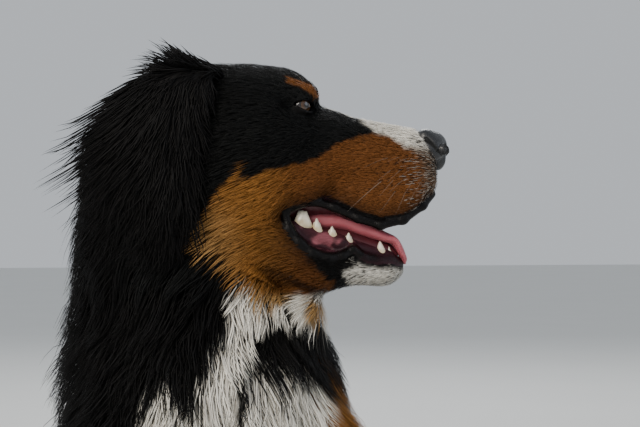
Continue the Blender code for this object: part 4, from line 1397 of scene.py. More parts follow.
class Surface:
    """A material in the making: its shader, and the few kinds of nodes that the finishes share."""

    def __init__(self, name: str, values: dict) -> None:
        """Starts the material.

        Args:
            name: the material's name.
            values: what is the same all over, by the shader's inputs.
        """
        self.material = bpy.data.materials.new(name)
        self.material.use_nodes = True
        self.shader = self.material.node_tree.nodes["Principled BSDF"]
        for key, value in values.items():
            self.shader.inputs[key].default_value = value

    def link(self, node: bpy.types.Node, links: dict) -> None:
        """Feeds the inputs of a node from other nodes' sockets."""
        for name, socket in links.items():
            self.material.node_tree.links.new(socket, node.inputs[name])

    def add(self, kind: str, settings: dict, links: dict | None = None, output: str | int = 0) -> Socket:
        """Adds a node with its settings and links.

        Args:
            kind: the node's type.
            settings: values by the name or number of an input, or by the name of a property.
            links: sockets by the name or number of the input they feed.
            output: the name or number of the output that is wanted.

        Returns:
            That output.
        """
        node = self.material.node_tree.nodes.new("ShaderNode" + kind)
        for name, value in settings.items():
            if isinstance(name, int) or name in node.inputs:
                node.inputs[name].default_value = value
            else:
                setattr(node, name, value)
        self.link(node, links or {})
        return node.outputs[output]

    def stored(self, name: str, output: str = "Fac") -> Socket:
        """What the piece stores under a name at every point."""
        return self.add("Attribute", {"attribute_name": name}, output=output)

    def metres(self, mapping: dict | None = None) -> Socket:
        """The piece's own places in metres, turned and stretched if asked."""
        place = self.add("TexCoord", {}, output="Object")
        return self.add("Mapping", mapping, {"Vector": place}) if mapping else place

    def strands(self, across: float, along: float) -> Socket:
        """Places on the map along the strands, stretched by the two scales."""
        place = self.add("UVMap", {"uv_map": "Strand"}, output="UV")
        return self.add("Mapping", {"Scale": (across, along, 1.0)}, {"Vector": place})

    def noise(self, place: Socket, scale: float, detail: float) -> Socket:
        """Soft irregular noise, about 0.3 to 0.7."""
        return self.add("TexNoise", {"Scale": scale, "Detail": detail}, {"Vector": place}, "Fac")

    def cells(self, per_metre: float, chance: float = 1.0) -> Socket:
        """The distance from the middles of rounded cells, so many a metre."""
        settings = {"Scale": per_metre, "Randomness": chance}
        return self.add("TexVoronoi", settings, {"Vector": self.metres()}, "Distance")

    def ranged(self, value: Socket, low: float, high: float, start: float = 0.0, end: float = 1.0) -> Socket:
        """The value stretched so that start becomes low and end becomes high."""
        limits = {"From Min": start, "From Max": end, "To Min": low, "To Max": high}
        return self.add("MapRange", limits, {"Value": value})

    def between(self, share: Socket, first: str, second: str) -> Socket:
        """A colour from the first to the second of two sRGB colours."""
        pair = {"data_type": "RGBA", 6: (*linear(first), 1), 7: (*linear(second), 1)}
        return self.add("Mix", pair, {0: share}, 2)

    def shaded(self, colour: Socket, shade: Socket) -> Socket:
        """A colour made lighter or darker by a factor."""
        return self.add("VectorMath", {"operation": "MULTIPLY"}, {0: colour, 1: shade})

    def relief(self, height: Socket, strength: float, depth: float, invert: bool = False) -> Socket:
        """The bumps of a height, of a depth in metres."""
        settings = {"Strength": strength, "Distance": depth, "invert": invert}
        return self.add("Bump", settings, {"Height": height})

    def finished(self, links: dict) -> Material:
        """The material, its shader fed by the sockets."""
        self.link(self.shader, links)
        return self.material


# Guard hair, combed: deep black or warm tan strands, with a narrow grey sheen where a lamp grazes them
@dataclass(frozen=True)
class HairFibre:
    """Combed guard hair: glossy along each strand, with strands finer than the tufts drawn in."""

    name: str = "combed_guard_hair"
    ior: float = 1.55
    roughness: float = 0.50
    specular: float = 0.11
    # Real hairs are 0.06 mm thick; five broader ones are drawn across a tuft so that they show
    strands: float = 5.0
    strand_lift: float = 0.0004

    def material(self) -> Material:
        """The material, which takes its colour from the tufts themselves.

        Returns:
            The material.
        """
        values = {"Roughness": self.roughness, "IOR": self.ior, "Specular IOR Level": self.specular}
        make = Surface(self.name, values)
        streak = make.noise(make.strands(self.strands, 1.0), 3.0, 2.0)
        colour = make.shaded(make.stored("coat", "Color"), make.ranged(streak, 0.84, 1.14, 0.3, 0.7))
        relief = make.relief(streak, 0.5, self.strand_lift)
        return make.finished({"Base Color": colour, "Normal": relief})


# Short hair over skin: soft and matt where it is furred, a low wet gleam on lips, gums and lids
@dataclass(frozen=True)
class Hide:
    """Skin under short fur: matt and streaked under the coat, moist where it is bare."""

    name: str = "short_furred_hide"
    ior: float = 1.45
    specular: float = 0.16
    furred_roughness: float = 0.62
    bare_roughness: float = 0.26
    # Millimetres, drawn coarser than the real 0.05 mm so that single hairs show
    hair_width: float = 0.9
    hair_length: float = 7.0
    # Folds of the bare skin in a metre, each about 1.1 mm across
    wrinkles: float = 900.0
    relief_depth: float = 0.0005

    def material(self) -> Material:
        """The material, which takes its colour from the skin's markings.

        Returns:
            The material.
        """
        make = Surface(self.name, {"IOR": self.ior, "Specular IOR Level": self.specular})
        bare = make.stored("bare")
        fine, long = 1000 / self.hair_width / 6, 1000 / self.hair_length / 6
        lie = make.metres({"Rotation": (0.0, 0.0, -HEAD_YAW), "Scale": (long, fine, fine)})
        hairs = make.noise(lie, 6.0, 3.0)
        height = make.add("Mix", {"data_type": "FLOAT"}, {0: bare, 2: hairs, 3: make.cells(self.wrinkles)})
        colour = make.shaded(make.stored("coat", "Color"), make.ranged(hairs, 0.7, 1.2, 0.3, 0.7))
        gloss = make.ranged(bare, self.furred_roughness, self.bare_roughness)
        relief = make.relief(height, 0.6, self.relief_depth)
        return make.finished({"Base Color": colour, "Normal": relief, "Roughness": gloss})


# Nose skin, pebbled and wet: near black, broken into small soft highlights, with painted shade in the
# crevices between the pebbles and painted dead-black shade inside the nostrils
@dataclass(frozen=True)
class NoseLeather:
    """The pebbled, moist leather of the nose: pads about 1 mm across, dark grey with painted shade between
    them, with a wet gloss.
    """

    name: str = "pebbled_nose_leather"
    colour: str = "#25272b"
    # Painted shade in the crevices between the pebbles
    crevice_painted_shade: str = "#101113"
    # Painted shade: dead black inside the nostrils
    inside: str = "#030303"
    pebble: float = 1.1
    scatter: float = 0.85
    relief_depth: float = 0.0004

    def material(self) -> Material:
        """The material, dull and painted dead black with painted shade where the nostrils are hollow.

        Returns:
            The material.
        """
        make = Surface(self.name, {"IOR": 1.45, "Coat Roughness": 0.18})
        cells = make.cells(1000 / self.pebble, self.scatter)
        pad = make.between(make.ranged(cells, 0.0, 1.0, 0.15, 0.65), self.colour, self.crevice_painted_shade)
        hollow = make.stored("hollow")
        # Painted shade fills the hollow nostrils with dead black
        inside = {"data_type": "RGBA", 7: (*linear(self.inside), 1)}
        colour = make.add("Mix", inside, {0: hollow, 6: pad}, 2)
        relief = make.relief(cells, 0.7, self.relief_depth, True)
        gloss, film = make.ranged(hollow, 0.34, 0.9), make.ranged(hollow, 0.28, 0.0)
        links = {"Base Color": colour, "Normal": relief, "Roughness": gloss, "Coat Weight": film}
        return make.finished(links)


# Tongue and mouth lining, wet: blotched pink with a fine sparkle, softened by light from within
@dataclass(frozen=True)
class MoistFlesh:
    """Wet tissue of the tongue: soft papillae under a film of spit, a little light inside."""

    name: str
    colour: str
    blotch: str
    # Millimetres between the papillae, drawn a little coarser than the real 0.5 mm
    grain: float = 0.8
    roughness: float = 0.30
    ior: float = 1.40
    relief_depth: float = 0.0003

    def material(self) -> Material:
        """The material.

        Returns:
            The material.
        """
        glow = {"Subsurface Weight": 0.15, "Subsurface Scale": 0.004, "Subsurface Radius": (1.0, 0.3, 0.2)}
        make = Surface(self.name, {"Roughness": self.roughness, "IOR": self.ior} | glow)
        colour = make.between(make.noise(make.metres(), 90.0, 4.0), self.colour, self.blotch)
        papillae = make.relief(make.cells(1000 / self.grain), 0.35, self.relief_depth, True)
        return make.finished({"Base Color": colour, "Normal": papillae})


# Enamel, smooth and wet: ivory that yellows at the gum, with sharp small highlights
@dataclass(frozen=True)
class Enamel:
    """Tooth enamel: ivory, yellower towards the gum, smooth under a wet film."""

    name: str = "tooth_enamel"
    colour: str = "#ddd6c4"
    root: str = "#b59f74"
    roughness: float = 0.22
    ior: float = 1.62

    def material(self) -> Material:
        """The material.

        Returns:
            The material.
        """
        make = Surface(self.name, {"Roughness": self.roughness, "IOR": self.ior})
        stain = make.noise(make.metres(), 160.0, 3.0)
        share = make.add("Math", {"operation": "MULTIPLY"}, {0: stain, 1: make.stored("gum")})
        return make.finished({"Base Color": make.between(share, self.colour, self.root)})


# A living eye, filmed with tears: a deep brown ring that shows its fibres, under one sharp highlight
@dataclass(frozen=True)
class EyeTissue:
    """The living eye: dark brown iris with fine fibres, black pupil, wet clear front."""

    name: str = "moist_eye"
    fibre_contrast: float = 0.5
    roughness: float = 0.12
    ior: float = 1.38
    film_roughness: float = 0.02

    def material(self) -> Material:
        """The material, which takes its rings from the eye's own colours.

        Returns:
            The material.
        """
        film = {"Coat Weight": 1.0, "Coat Roughness": self.film_roughness}
        make = Surface(self.name, {"Roughness": self.roughness, "IOR": self.ior} | film)
        fibres = make.noise(make.strands(60.0, 2.0), 1.0, 3.0)
        shade = make.ranged(fibres, 1.0 - self.fibre_contrast, 1.0 + self.fibre_contrast)
        return make.finished({"Base Color": make.shaded(make.stored("coat", "Color"), shade)})


# Keratin, grown and worn: faint streaks lengthways and a satin light along the curve
@dataclass(frozen=True)
class Horn:
    """Keratin of claws and whiskers: streaked lengthways, satin."""

    name: str
    colour: str
    streak: str
    roughness: float = 0.4
    ior: float = 1.55

    def material(self) -> Material:
        """The material.

        Returns:
            The material.
        """
        make = Surface(self.name, {"Roughness": self.roughness, "IOR": self.ior})
        grain = make.noise(make.metres({"Scale": (1500, 150, 1500)}), 1.0, 2.0)
        return make.finished({"Base Color": make.between(grain, self.colour, self.streak)})


# Emulsion paint, rolled: pale and matt, so that the floor only carries the shadow
@dataclass(frozen=True)
class StudioFloor:
    """Painted studio floor: pale, matt, with a faint roller texture."""

    name: str = "painted_floor"
    colour: str = "#d9dad8"
    roughness: float = 0.75
    mottle: float = 0.03

    def material(self) -> Material:
        """The material.

        Returns:
            The material.
        """
        make = Surface(self.name, {"Roughness": self.roughness})
        shade = make.ranged(make.noise(make.metres(), 3.0, 5.0), 1 - self.mottle, 1 + self.mottle)
        paint_node = {"operation": "MULTIPLY", 0: tuple(linear(self.colour))}
        return make.finished({"Base Color": make.add("VectorMath", paint_node, {1: shade})})


def paint(obj: Object, name: str, colours: Array) -> None:
    """Stores one colour a vertex.

    Args:
        obj: the object.
        name: the attribute's name, as the finishes read it.
        colours: rows of linear red, green and blue.
    """
    layer = obj.data.color_attributes.new(name, "FLOAT_COLOR", "POINT")
    rows = np.concatenate([colours, np.ones((len(colours), 1))], axis=1)
    layer.data.foreach_set("color", rows.astype(np.float32).ravel())


def weigh(obj: Object, name: str, values: Array) -> None:
    """Stores one number a vertex."""
    layer = obj.data.attributes.new(name, "FLOAT", "POINT")
    layer.data.foreach_set("value", values.astype(np.float32))


def seat(piece: Object, material: Material) -> Object:
    """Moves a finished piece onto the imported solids, dresses it and lets it ride with the dog.

    Args:
        piece: the piece.
        material: its finish.

    Returns:
        The same piece.
    """
    piece.data.transform(Matrix.Translation(ORIGIN_SHIFT))
    piece.data.materials.clear()
    piece.data.materials.append(material)
    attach(piece, "root")
    log.info("%s: %d faces", piece.name, len(piece.data.polygons))
    return piece


# Skin

HEAD_SIDE = ((300, 200), (300, -190), (110, -178), (60, -168), (22.6, -146), (-132.9, 200))
GAZE = (0.64, 0.765, 0.04)
LID_SLIT = (14.6, 7.8)
LID_DROP = 0.0014
EYE_RADIUS = 12.0


def gaze_of(side: Side) -> Vector:
    """The direction in which an eye looks."""
    return (HEAD_TURN @ Vector((GAZE[0], side.value * GAZE[1], GAZE[2]))).normalized()


def lid_line(side: Side, depth: float, grow: float, count: int) -> list[Vector]:
    """The almond opening between the lids at some depth before the eye's centre.

    Args:
        side: which eye.
        depth: metres along the gaze.
        grow: metres added to the opening's half sizes.
        count: how many points.

    Returns:
        The points of the line.
    """
    gaze = gaze_of(side)
    noseward = UPWARD.cross(gaze).normalized() * -side.value
    centre = head_point(*eye_centre(side))
    half, high = LID_SLIT[0] * MM + grow, LID_SLIT[1] * MM + grow
    ring = []
    for i in range(count):
        angle = 2 * math.pi * i / count
        along, lift = math.cos(angle), math.sin(angle)
        lift *= math.sqrt(1 - 0.55 * along * along)
        lift *= 1.0 if lift > 0 else 0.8
        drop = 0.0022 * along + LID_DROP
        ring.append(centre + gaze * depth + noseward * along * half + UPWARD * (lift * high - drop))
    return ring


@dataclass
class Skin:
    """The one skin of the animal, its head finer than its body."""

    anatomy: Anatomy
    markings: Markings
    body_voxel: float = 0.0065
    head_voxel: float = 0.0035
    body_flesh: Flesh = field(init=False)
    head_flesh: Flesh = field(init=False)
    body_chart: Chart = field(init=False)
    head_chart: Chart = field(init=False)

    def __post_init__(self) -> None:
        """Blends the masses and charts them."""
        self.body_flesh = Flesh(self.anatomy.whole())
        self.head_flesh = Flesh(self.anatomy.head())
        self.body_chart = Chart(self.body_flesh, (-0.26, -0.52, -0.06), (0.40, 0.80, 0.66), 0.006, 0.06)
        self.head_chart = Chart(self.body_flesh, (-0.14, -0.28, 0.30), (0.28, 0.02, 0.64), 0.0025, 0.02)

    def body(self) -> Object:
        """Neck, trunk, legs and tail, without the head.

        Returns:
            The object, cut flat where it rests on the floor.
        """
        obj = fleshed("body_skin", self.body_flesh, self.body_voxel)
        boolean(obj, block("floor_cut", (-2, -2, -2), (2, 2, 0.0015)), "DIFFERENCE")
        return boolean(obj, head_prism("neck_cut"), "DIFFERENCE")

    def head(self) -> tuple[Object, Object]:
        """The head with the neck below it.

        Returns:
            The object, and a plain copy of the head alone in which hair is rooted.
        """
        obj = fleshed("head_skin", self.head_flesh, self.head_voxel)
        rooting = placed("head_roots", obj.data.copy())
        return obj, boolean(rooting, head_prism("neck_side", 5.0), "INTERSECT")

    def finer_head(self, head: Object) -> Object:
        """The head with faces half the size, cut to the neck and opened at the eyes.

        Args:
            head: the head with the neck.

        Returns:
            The same object, finer.
        """
        modified(head, "SUBSURF", levels=1)
        points, _ = self.head_flesh.settle(coordinates(head), 1)
        move_to(head, points)
        boolean(head, head_prism("neck_side"), "INTERSECT")
        for side in Side:
            sphere, faces = unit_sphere(48, 32)
            room = sphere * (EYE_RADIUS * MM + 0.0003) + np.array(head_point(*eye_centre(side)))
            boolean(head, mesh_of("socket", room, faces), "DIFFERENCE")
            depths = ((0.004, 0.0), (0.013, 0.0), (0.030, 0.006))
            rings = [lid_line(side, depth, grow, 48) for depth, grow in depths]
            boolean(head, loft("slit", rings), "DIFFERENCE")
        return head

    def build(self, finish: Hide) -> tuple[Object, "Roots"]:
        """The whole skin and the places where hair can grow.

        Args:
            finish: the hide's finish.

        Returns:
            The skin piece and the quads of body and head for rooting the coat.
        """
        body, (head, rooting) = self.body(), self.head()
        roots = Roots.of(body, rooting)
        discard(rooting)
        head = self.finer_head(head)
        skin = gathered("skin", [body, head])
        points = coordinates(skin)
        paint(skin, "coat", self.markings.hide(points))
        weigh(skin, "bare", self.markings.bare(points))
        seat(skin, finish.material())
        flesh_nodes = ["torso", "neck", "head", "lower_jaw", "tail"]
        for part in ("foreleg", "forepaw", "hind_leg", "hind_paw"):
            flesh_nodes += [part + "_left", part + "_right"]
        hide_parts(*flesh_nodes)
        return skin, roots


# Coat

# The depth of coat, in metres, from which hair gathers in locks
LONG_HAIR = 0.009


@dataclass
class Roots:
    """The quads of the skin on which hair grows, and an unwrap of the skin's own shape."""

    corners: Array
    on_head: Array
    tree: BVHTree
    unwrap: Array

    @staticmethod
    def of(body: Object, head: Object) -> "Roots":
        """Reads the quads of body and head and unwraps a plainer copy of them.

        Args:
            body: the body's skin.
            head: the head's skin.

        Returns:
            The roots.
        """
        corners, flags = [], []
        for obj, flag in ((body, False), (head, True)):
            points = coordinates(obj)
            quads = np.array([p.vertices[:] for p in obj.data.polygons if len(p.vertices) == 4])
            corners.append(points[quads])
            flags.append(np.full(len(quads), flag))
        proxy = Roots.plain_copy([body, head])
        tree, unwrap = Roots.unwrapped(proxy)
        return Roots(np.concatenate(corners), np.concatenate(flags), tree, unwrap)

    @staticmethod
    def plain_copy(objects: list[Object]) -> Object:
        """The skin again, in larger faces."""
        copies = [placed("proxy", obj.data.copy()) for obj in objects]
        return remeshed(gathered("proxy", copies), 0.014)

    @staticmethod
    def unwrapped(proxy: Object) -> tuple[BVHTree, Array]:
        """A search tree of the proxy's triangles and each triangle's three places on its unwrap.

        Args:
            proxy: the plainer skin, which is then removed.

        Returns:
            The tree, and rows of place and unwrap for each corner.
        """
        build = bmesh.new()
        build.from_mesh(proxy.data)
        bmesh.ops.triangulate(build, faces=build.faces)
        build.to_mesh(proxy.data)
        build.free()
        bpy.ops.object.select_all(action="DESELECT")
        proxy.select_set(True)
        bpy.context.view_layer.objects.active = proxy
        bpy.ops.object.mode_set(mode="EDIT")
        bpy.ops.mesh.select_all(action="SELECT")
        bpy.ops.uv.smart_project(angle_limit=math.radians(66), island_margin=0.004)
        bpy.ops.object.mode_set(mode="OBJECT")
        mesh = proxy.data
        flat = np.empty(len(mesh.loops) * 2, np.float32)
        mesh.uv_layers.active.data.foreach_get("uv", flat)
        corners = np.array([polygon.vertices[:] for polygon in mesh.polygons])
        tree = BVHTree.FromPolygons([vert.co[:] for vert in mesh.vertices], corners.tolist())
        places = coordinates(proxy)[corners]
        uv = flat.reshape(-1, 3, 2)
        discard(proxy)
        return tree, np.concatenate([places, uv], axis=2)

    def patch(self, points: Array) -> Array:
        """Each point's place on the unwrap of the skin.

        Args:
            points: rows of x, y and z.

        Returns:
            One place a point.
        """
        found = np.empty((len(points), 2))
        for i, point in enumerate(points):
            _, _, index, _ = self.tree.find_nearest(point)
            corner = self.unwrap[index]
            a, b, c = corner[:, :3]
            u, v, w = b - a, c - a, point - a
            uu, vv, uv, wu, wv = u @ u, v @ v, u @ v, w @ u, w @ v
            bottom = max(uu * vv - uv * uv, 1e-18)
            s, t = (vv * wu - uv * wv) / bottom, (uu * wv - uv * wu) / bottom
            s, t = min(max(s, 0.0), 1.0), min(max(t, 0.0), 1.0)
            found[i] = corner[0, 3:] * (1 - s - t) + corner[1, 3:] * s + corner[2, 3:] * t
        return np.clip(found, 0.002, 0.998)


@dataclass
class Tufts:
    """Many tufts at once: the middles of their rings, their frames, widths and colours."""

    middles: Array
    across: Array
    out: Array
    halves: Array
    colours: Array
    patches: Array
    flat: float = 0.45
    # Painted shade deep among the hairs at each tuft's root, lifting to a slight painted light at its tip
    root_painted_shade: float = 0.72
    tip_painted_light: float = 0.34

    def mesh(self, name: str) -> Object:
        """One mesh of closed, three-sided, pointed tufts.

        Args:
            name: the object's name.

        Returns:
            The object, with its colours and both UV maps.
        """
        steps, count = self.middles.shape[:2]
        rings = steps - 2
        verts = np.empty((count, 2 + 3 * rings, 3))
        verts[:, 0], verts[:, -1] = self.middles[0], self.middles[-1]
        for k in range(rings):
            middle, half = self.middles[k + 1], self.halves[k + 1][:, None]
            sideways, lift = self.across[k + 1] * half, self.out[k + 1] * half * self.flat
            for i, corner in enumerate((middle - sideways, middle + lift, middle + sideways)):
                verts[:, 1 + 3 * k + i] = corner
        faces = [(0, 1, 2), (0, 2, 3), (0, 3, 1)]
        for k in range(rings - 1):
            a = 1 + 3 * k
            faces += [(a + i, a + 3 + i, a + 3 + (i + 1) % 3, a + (i + 1) % 3) for i in range(3)]
        last, tip = 1 + 3 * (rings - 1), 1 + 3 * rings
        faces += [(last, tip, last + 1), (last + 1, tip, last + 2), (last + 2, tip, last)]
        sizes = np.array([len(face) for face in faces])
        corners = np.array([corner for face in faces for corner in face])
        per_tuft = 2 + 3 * rings
        loops = (corners[None] + np.arange(count)[:, None] * per_tuft).ravel()
        starts = np.concatenate([[0], np.cumsum(np.tile(sizes, count))[:-1]])
        mesh = bpy.data.meshes.new(name)
        mesh.vertices.add(count * per_tuft)
        mesh.loops.add(len(loops))
        mesh.polygons.add(count * len(faces))
        mesh.vertices.foreach_set("co", verts.astype(np.float32).ravel())
        mesh.loops.foreach_set("vertex_index", loops.astype(np.int32))
        mesh.polygons.foreach_set("loop_start", starts.astype(np.int32))
        mesh.update(calc_edges=True)
        obj = placed(name, mesh)
        reach = np.concatenate([[0.0], np.repeat((np.arange(rings) + 1) / (rings + 1), 3), [1.0]])
        self.map(mesh, corners, reach)
        # Painted shade and light along each tuft: darker at the root, a little lighter at the tip
        shade = self.root_painted_shade + self.tip_painted_light * reach
        paint(obj, "coat", (self.colours[:, None, :] * shade[None, :, None]).reshape(-1, 3))
        return obj

    def map(self, mesh: bpy.types.Mesh, corners: Array, reach: Array) -> None:
        """Adds the map of root patches and the map along the strands.

        Args:
            mesh: the tufts' mesh.
            corners: the corners of one tuft's faces.
            reach: how far along a tuft each of its vertices is.
        """
        side = np.concatenate([[0.5], np.tile([0.0, 0.5, 1.0], (len(reach) - 2) // 3), [0.5]])
        local = np.stack([side, reach], axis=1)[corners]
        spread = (local - 0.5) * 0.003
        patch = (self.patches[:, None, :] + spread[None]).reshape(-1, 2)
        strand = np.tile(local, (len(self.patches), 1)).reshape(len(self.patches), -1, 2)
        strand = strand + (np.arange(len(self.patches)) % 97)[:, None, None] * np.array([1.37, 2.11])
        for name, uv in (("OFBake", patch), ("Strand", strand)):
            mesh.uv_layers.new(name=name).data.foreach_set("uv", uv.astype(np.float32).ravel())


@dataclass(frozen=True)
class Combing:
    """How hair is laid: how long and wide it is for the depth of its coat, and how it gathers in locks."""

    length_floor: float = 0.004
    length_gain: float = 2.2
    half_floor: float = 0.00030
    half_gain: float = 0.0125
    sway: float = 0.16
    wave: float = 0.062
    wave_length: float = 0.075
    gather: float = 0.55
    lock_spacing: float = 0.024
    ruff: float = 0.32


@dataclass(frozen=True)
class Density:
    """How many tufts each face of the skin bears, more where the dog is seen best."""

    head_right: float = 2.45
    head_left: float = 2.0
    mane_right: float = 2.6
    mane_left: float = 1.4
    other_long: float = 0.75
    other_short: float = 1.1
    long_depth: float = 0.018
    quick_share: float = 0.25


@dataclass
class Coat:
    """The fur over the skin, from the fine hair of the face to the long feathering."""

    skin: Skin
    roots: Roots
    combing: Combing = field(default_factory=Combing)
    density: Density = field(default_factory=Density)
    seed: int = 5

    def scattered(self, dense: Array, chance: Chance) -> tuple[Array, Array]:
        """Root points on the quads of the skin.

        Args:
            dense: how many tufts each quad has on average.
            chance: the source of chance.

        Returns:
            The points and the index of the quad of each.
        """
        counts = np.floor(dense + chance.random(len(dense))).astype(int)
        quad = np.repeat(np.arange(len(dense)), counts)
        u, v = chance.random((2, len(quad), 1))
        a, b, c, d = (self.roots.corners[quad, i] for i in range(4))
        return a * (1 - u) * (1 - v) + b * u * (1 - v) + c * u * v + d * (1 - u) * v, quad

    def laid(self, roots: Array, chart: Chart, chance: Chance, rings: int) -> Tufts:
        """Combs hair from the roots along its lie out to the tips of the coat.

        Args:
            roots: root points on the skin.
            chart: the readings of the flesh there.
            chance: the source of chance.
            rings: how many rings each tuft has.

        Returns:
            The tufts.
        """
        comb, count = self.combing, len(roots)
        _, out, depth, lie = chart.read(roots)
        lengths = (comb.length_floor + comb.length_gain * depth) * chance.uniform(0.72, 1.18, count)
        halves = (comb.half_floor + comb.half_gain * depth) * chance.uniform(0.75, 1.3, count)
        sway = chance.normal(0, comb.sway, count)
        top = chance.uniform(0.68, 1.08, count) + (chance.random(count) < 0.04) * 0.30
        x, _, z = roots.T
        top *= 1 + comb.ruff * smooth(-0.09, -0.15, x) * smooth(0.18, 0.27, z) * smooth(0.46, 0.40, z)
        shares = np.linspace(0.0, 1.0, rings + 2)
        rises = np.array([-0.15, *(0.25 + 0.75 * (shares[1:] ** 0.7))])
        middles, acrosses, outs = [], [], []
        place, last = roots, 0.0
        resting = 0.003 + 0.008 * chance.random(count) ** 2
        for share, rise in zip(shares, rises):
            lie = self.parted(place, lie)
            lie -= (lie * out).sum(axis=1)[:, None] * out
            lie /= np.maximum(np.linalg.norm(lie, axis=1), 1e-6)[:, None]
            across = np.cross(lie, out)
            heading = lie + across * (sway * (1.2 - share))[:, None]
            heading /= np.linalg.norm(heading, axis=1)[:, None]
            place = place + heading * ((share - last) * lengths)[:, None]
            for _ in range(2):
                distance, out, here, lie = chart.read(place)
                place = place - np.clip(distance - rise * top * here, -0.012, 0.012)[:, None] * out
            place[:, 2] = np.maximum(place[:, 2], resting)
            last = share
            middles.append(place)
            acrosses.append(np.cross(heading, out))
            outs.append(out)
        middles = self.gathered(np.array(middles), np.array(acrosses), lengths, depth, shares, chance)
        fade = ((shares[1:-1] - shares[1]) / max(1 - shares[1], 1e-6)) ** 1.5
        profile = np.array([0.0, *(1.0 - 0.55 * fade), 0.0])
        colours = self.tinted(middles[rings], chance) * self.variation(roots, chance)
        return Tufts(
            middles, np.array(acrosses), np.array(outs), profile[:, None] * halves[None], colours,
            self.roots.patch(roots),
        )

    def parted(self, points: Array, lie: Array) -> Array:
        """Turns the lie away from the eyes, so that no hair crosses them.

        Args:
            points: where the hair is.
            lie: its direction there.

        Returns:
            The turned directions.
        """
        head = head_space(points)
        lie = lie.copy()
        for side in Side:
            away = head - (np.array(eye_centre(side)) + np.array((6.0, side.value * 8.0, 0.0)))
            far = np.linalg.norm(away, axis=1)
            push = np.exp(-((far / 17.0) ** 2)) * 2.2
            lie += (away / np.maximum(far, 1e-6)[:, None] * push[:, None]) @ np.array(HEAD_TURN).T
        return lie

    def gathered(
        self, middles: Array, across: Array, lengths: Array, depth: Array, shares: Array, chance: Chance
    ) -> Array:
        """Draws long hair together into wavy locks.

        Args:
            middles: the middles of each ring.
            across: the sideways direction at each ring.
            lengths: each tuft's length.
            depth: the depth of the coat at each root.
            shares: how far along a tuft each ring is.
            chance: the source of chance.

        Returns:
            The moved middles.
        """
        comb = self.combing
        long = np.flatnonzero(depth > LONG_HAIR)
        if not len(long):
            return middles
        order, guides, cells = chance.permutation(long), [], {}
        spacing = comb.lock_spacing
        for i in order:
            key = tuple((middles[0, i] // (spacing * 0.8)).astype(int))
            if key not in cells:
                cells[key] = i
                guides.append(i)
        tree = KDTree(len(guides))
        for number, i in enumerate(guides):
            tree.insert(middles[0, i], number)
        tree.balance()
        leader = np.array([guides[tree.find(middles[0, i])[1]] for i in long])
        phase = chance.uniform(0, 2 * math.pi, middles.shape[1])
        full = smooth(LONG_HAIR, 0.030, depth[long])
        moved = middles.copy()
        for k, share in enumerate(shares):
            pull = (comb.gather * share**1.2 * full)[:, None]
            beside = middles[0, long] - middles[0, leader]
            toward = middles[k, leader] + beside * (1 - share) ** 1.2
            swing = np.sin(2 * math.pi * share * lengths[leader] / comb.wave_length + phase[leader])
            swing = swing * comb.wave * lengths[long] * share * full
            moved[k, long] = middles[k, long] * (1 - pull) + toward * pull + across[k, long] * swing[:, None]
        moved[..., 2] = np.maximum(moved[..., 2], 0.002)
        return moved

    def tinted(self, shown: Array, chance: Chance) -> Array:
        """The colour of each tuft where it shows, with single light and dark hairs where they mix.

        Args:
            shown: where each tuft shows.
            chance: the source of chance.

        Returns:
            One linear colour a tuft.
        """
        markings = self.skin.markings
        colours = markings.coat(shown)
        mixed, draw = markings.grizzle(shown), chance.random(len(shown))
        pale, dark = draw < mixed * 0.34, draw > 1 - mixed * 0.30
        colours[pale] = colours[pale] * 0.35 + markings.shade("white") * 0.30
        colours[dark] = markings.shade("pepper")
        return colours

    def variation(self, roots: Array, chance: Chance) -> Array:
        """How much lighter or darker each tuft is, hair by hair and patch by patch."""
        patchy = 1 + 0.10 * ripple(roots, 0.03, 9.2)
        return (chance.uniform(0.82, 1.18, len(roots)) * patchy)[:, None]

    def build(self, finish: HairFibre) -> list[Object]:
        """All coat pieces of head and body.

        Args:
            finish: the hair's finish.

        Returns:
            The pieces.
        """
        chance = np.random.default_rng(self.seed)
        middles = self.roots.corners.mean(axis=1)
        _, _, depth, _ = self.skin.body_chart.read(middles)
        bare = self.skin.markings.bare(middles)
        head = head_space(middles)
        shown = (head[:, 0] > -140) | (middles[:, 1] < -0.02)
        right = head[:, 1] < 0
        count = self.density
        mane = shown & (middles[:, 2] > 0.15)
        long = np.where(mane, np.where(right, count.mane_right, count.mane_left), count.other_long)
        body = np.where(depth > count.long_depth, long, count.other_short)
        dense = np.where(self.roots.on_head, np.where(right, count.head_right, count.head_left), body)
        dense = dense * (bare < 0.5) * (middles[:, 2] > 0.008)
        points, quad = self.scattered(dense, chance)
        material = finish.material()
        pieces = []
        deep = depth[quad]
        for name, keep, rings, slot in self.regions(points, deep):
            if not keep.any():
                continue
            chart = self.skin.head_chart if rings == 2 and "face" in name else self.skin.body_chart
            tufts = self.laid(points[keep], chart, chance, rings)
            piece = tufts.mesh(name)
            pieces.append(seat(piece, material))
        return pieces

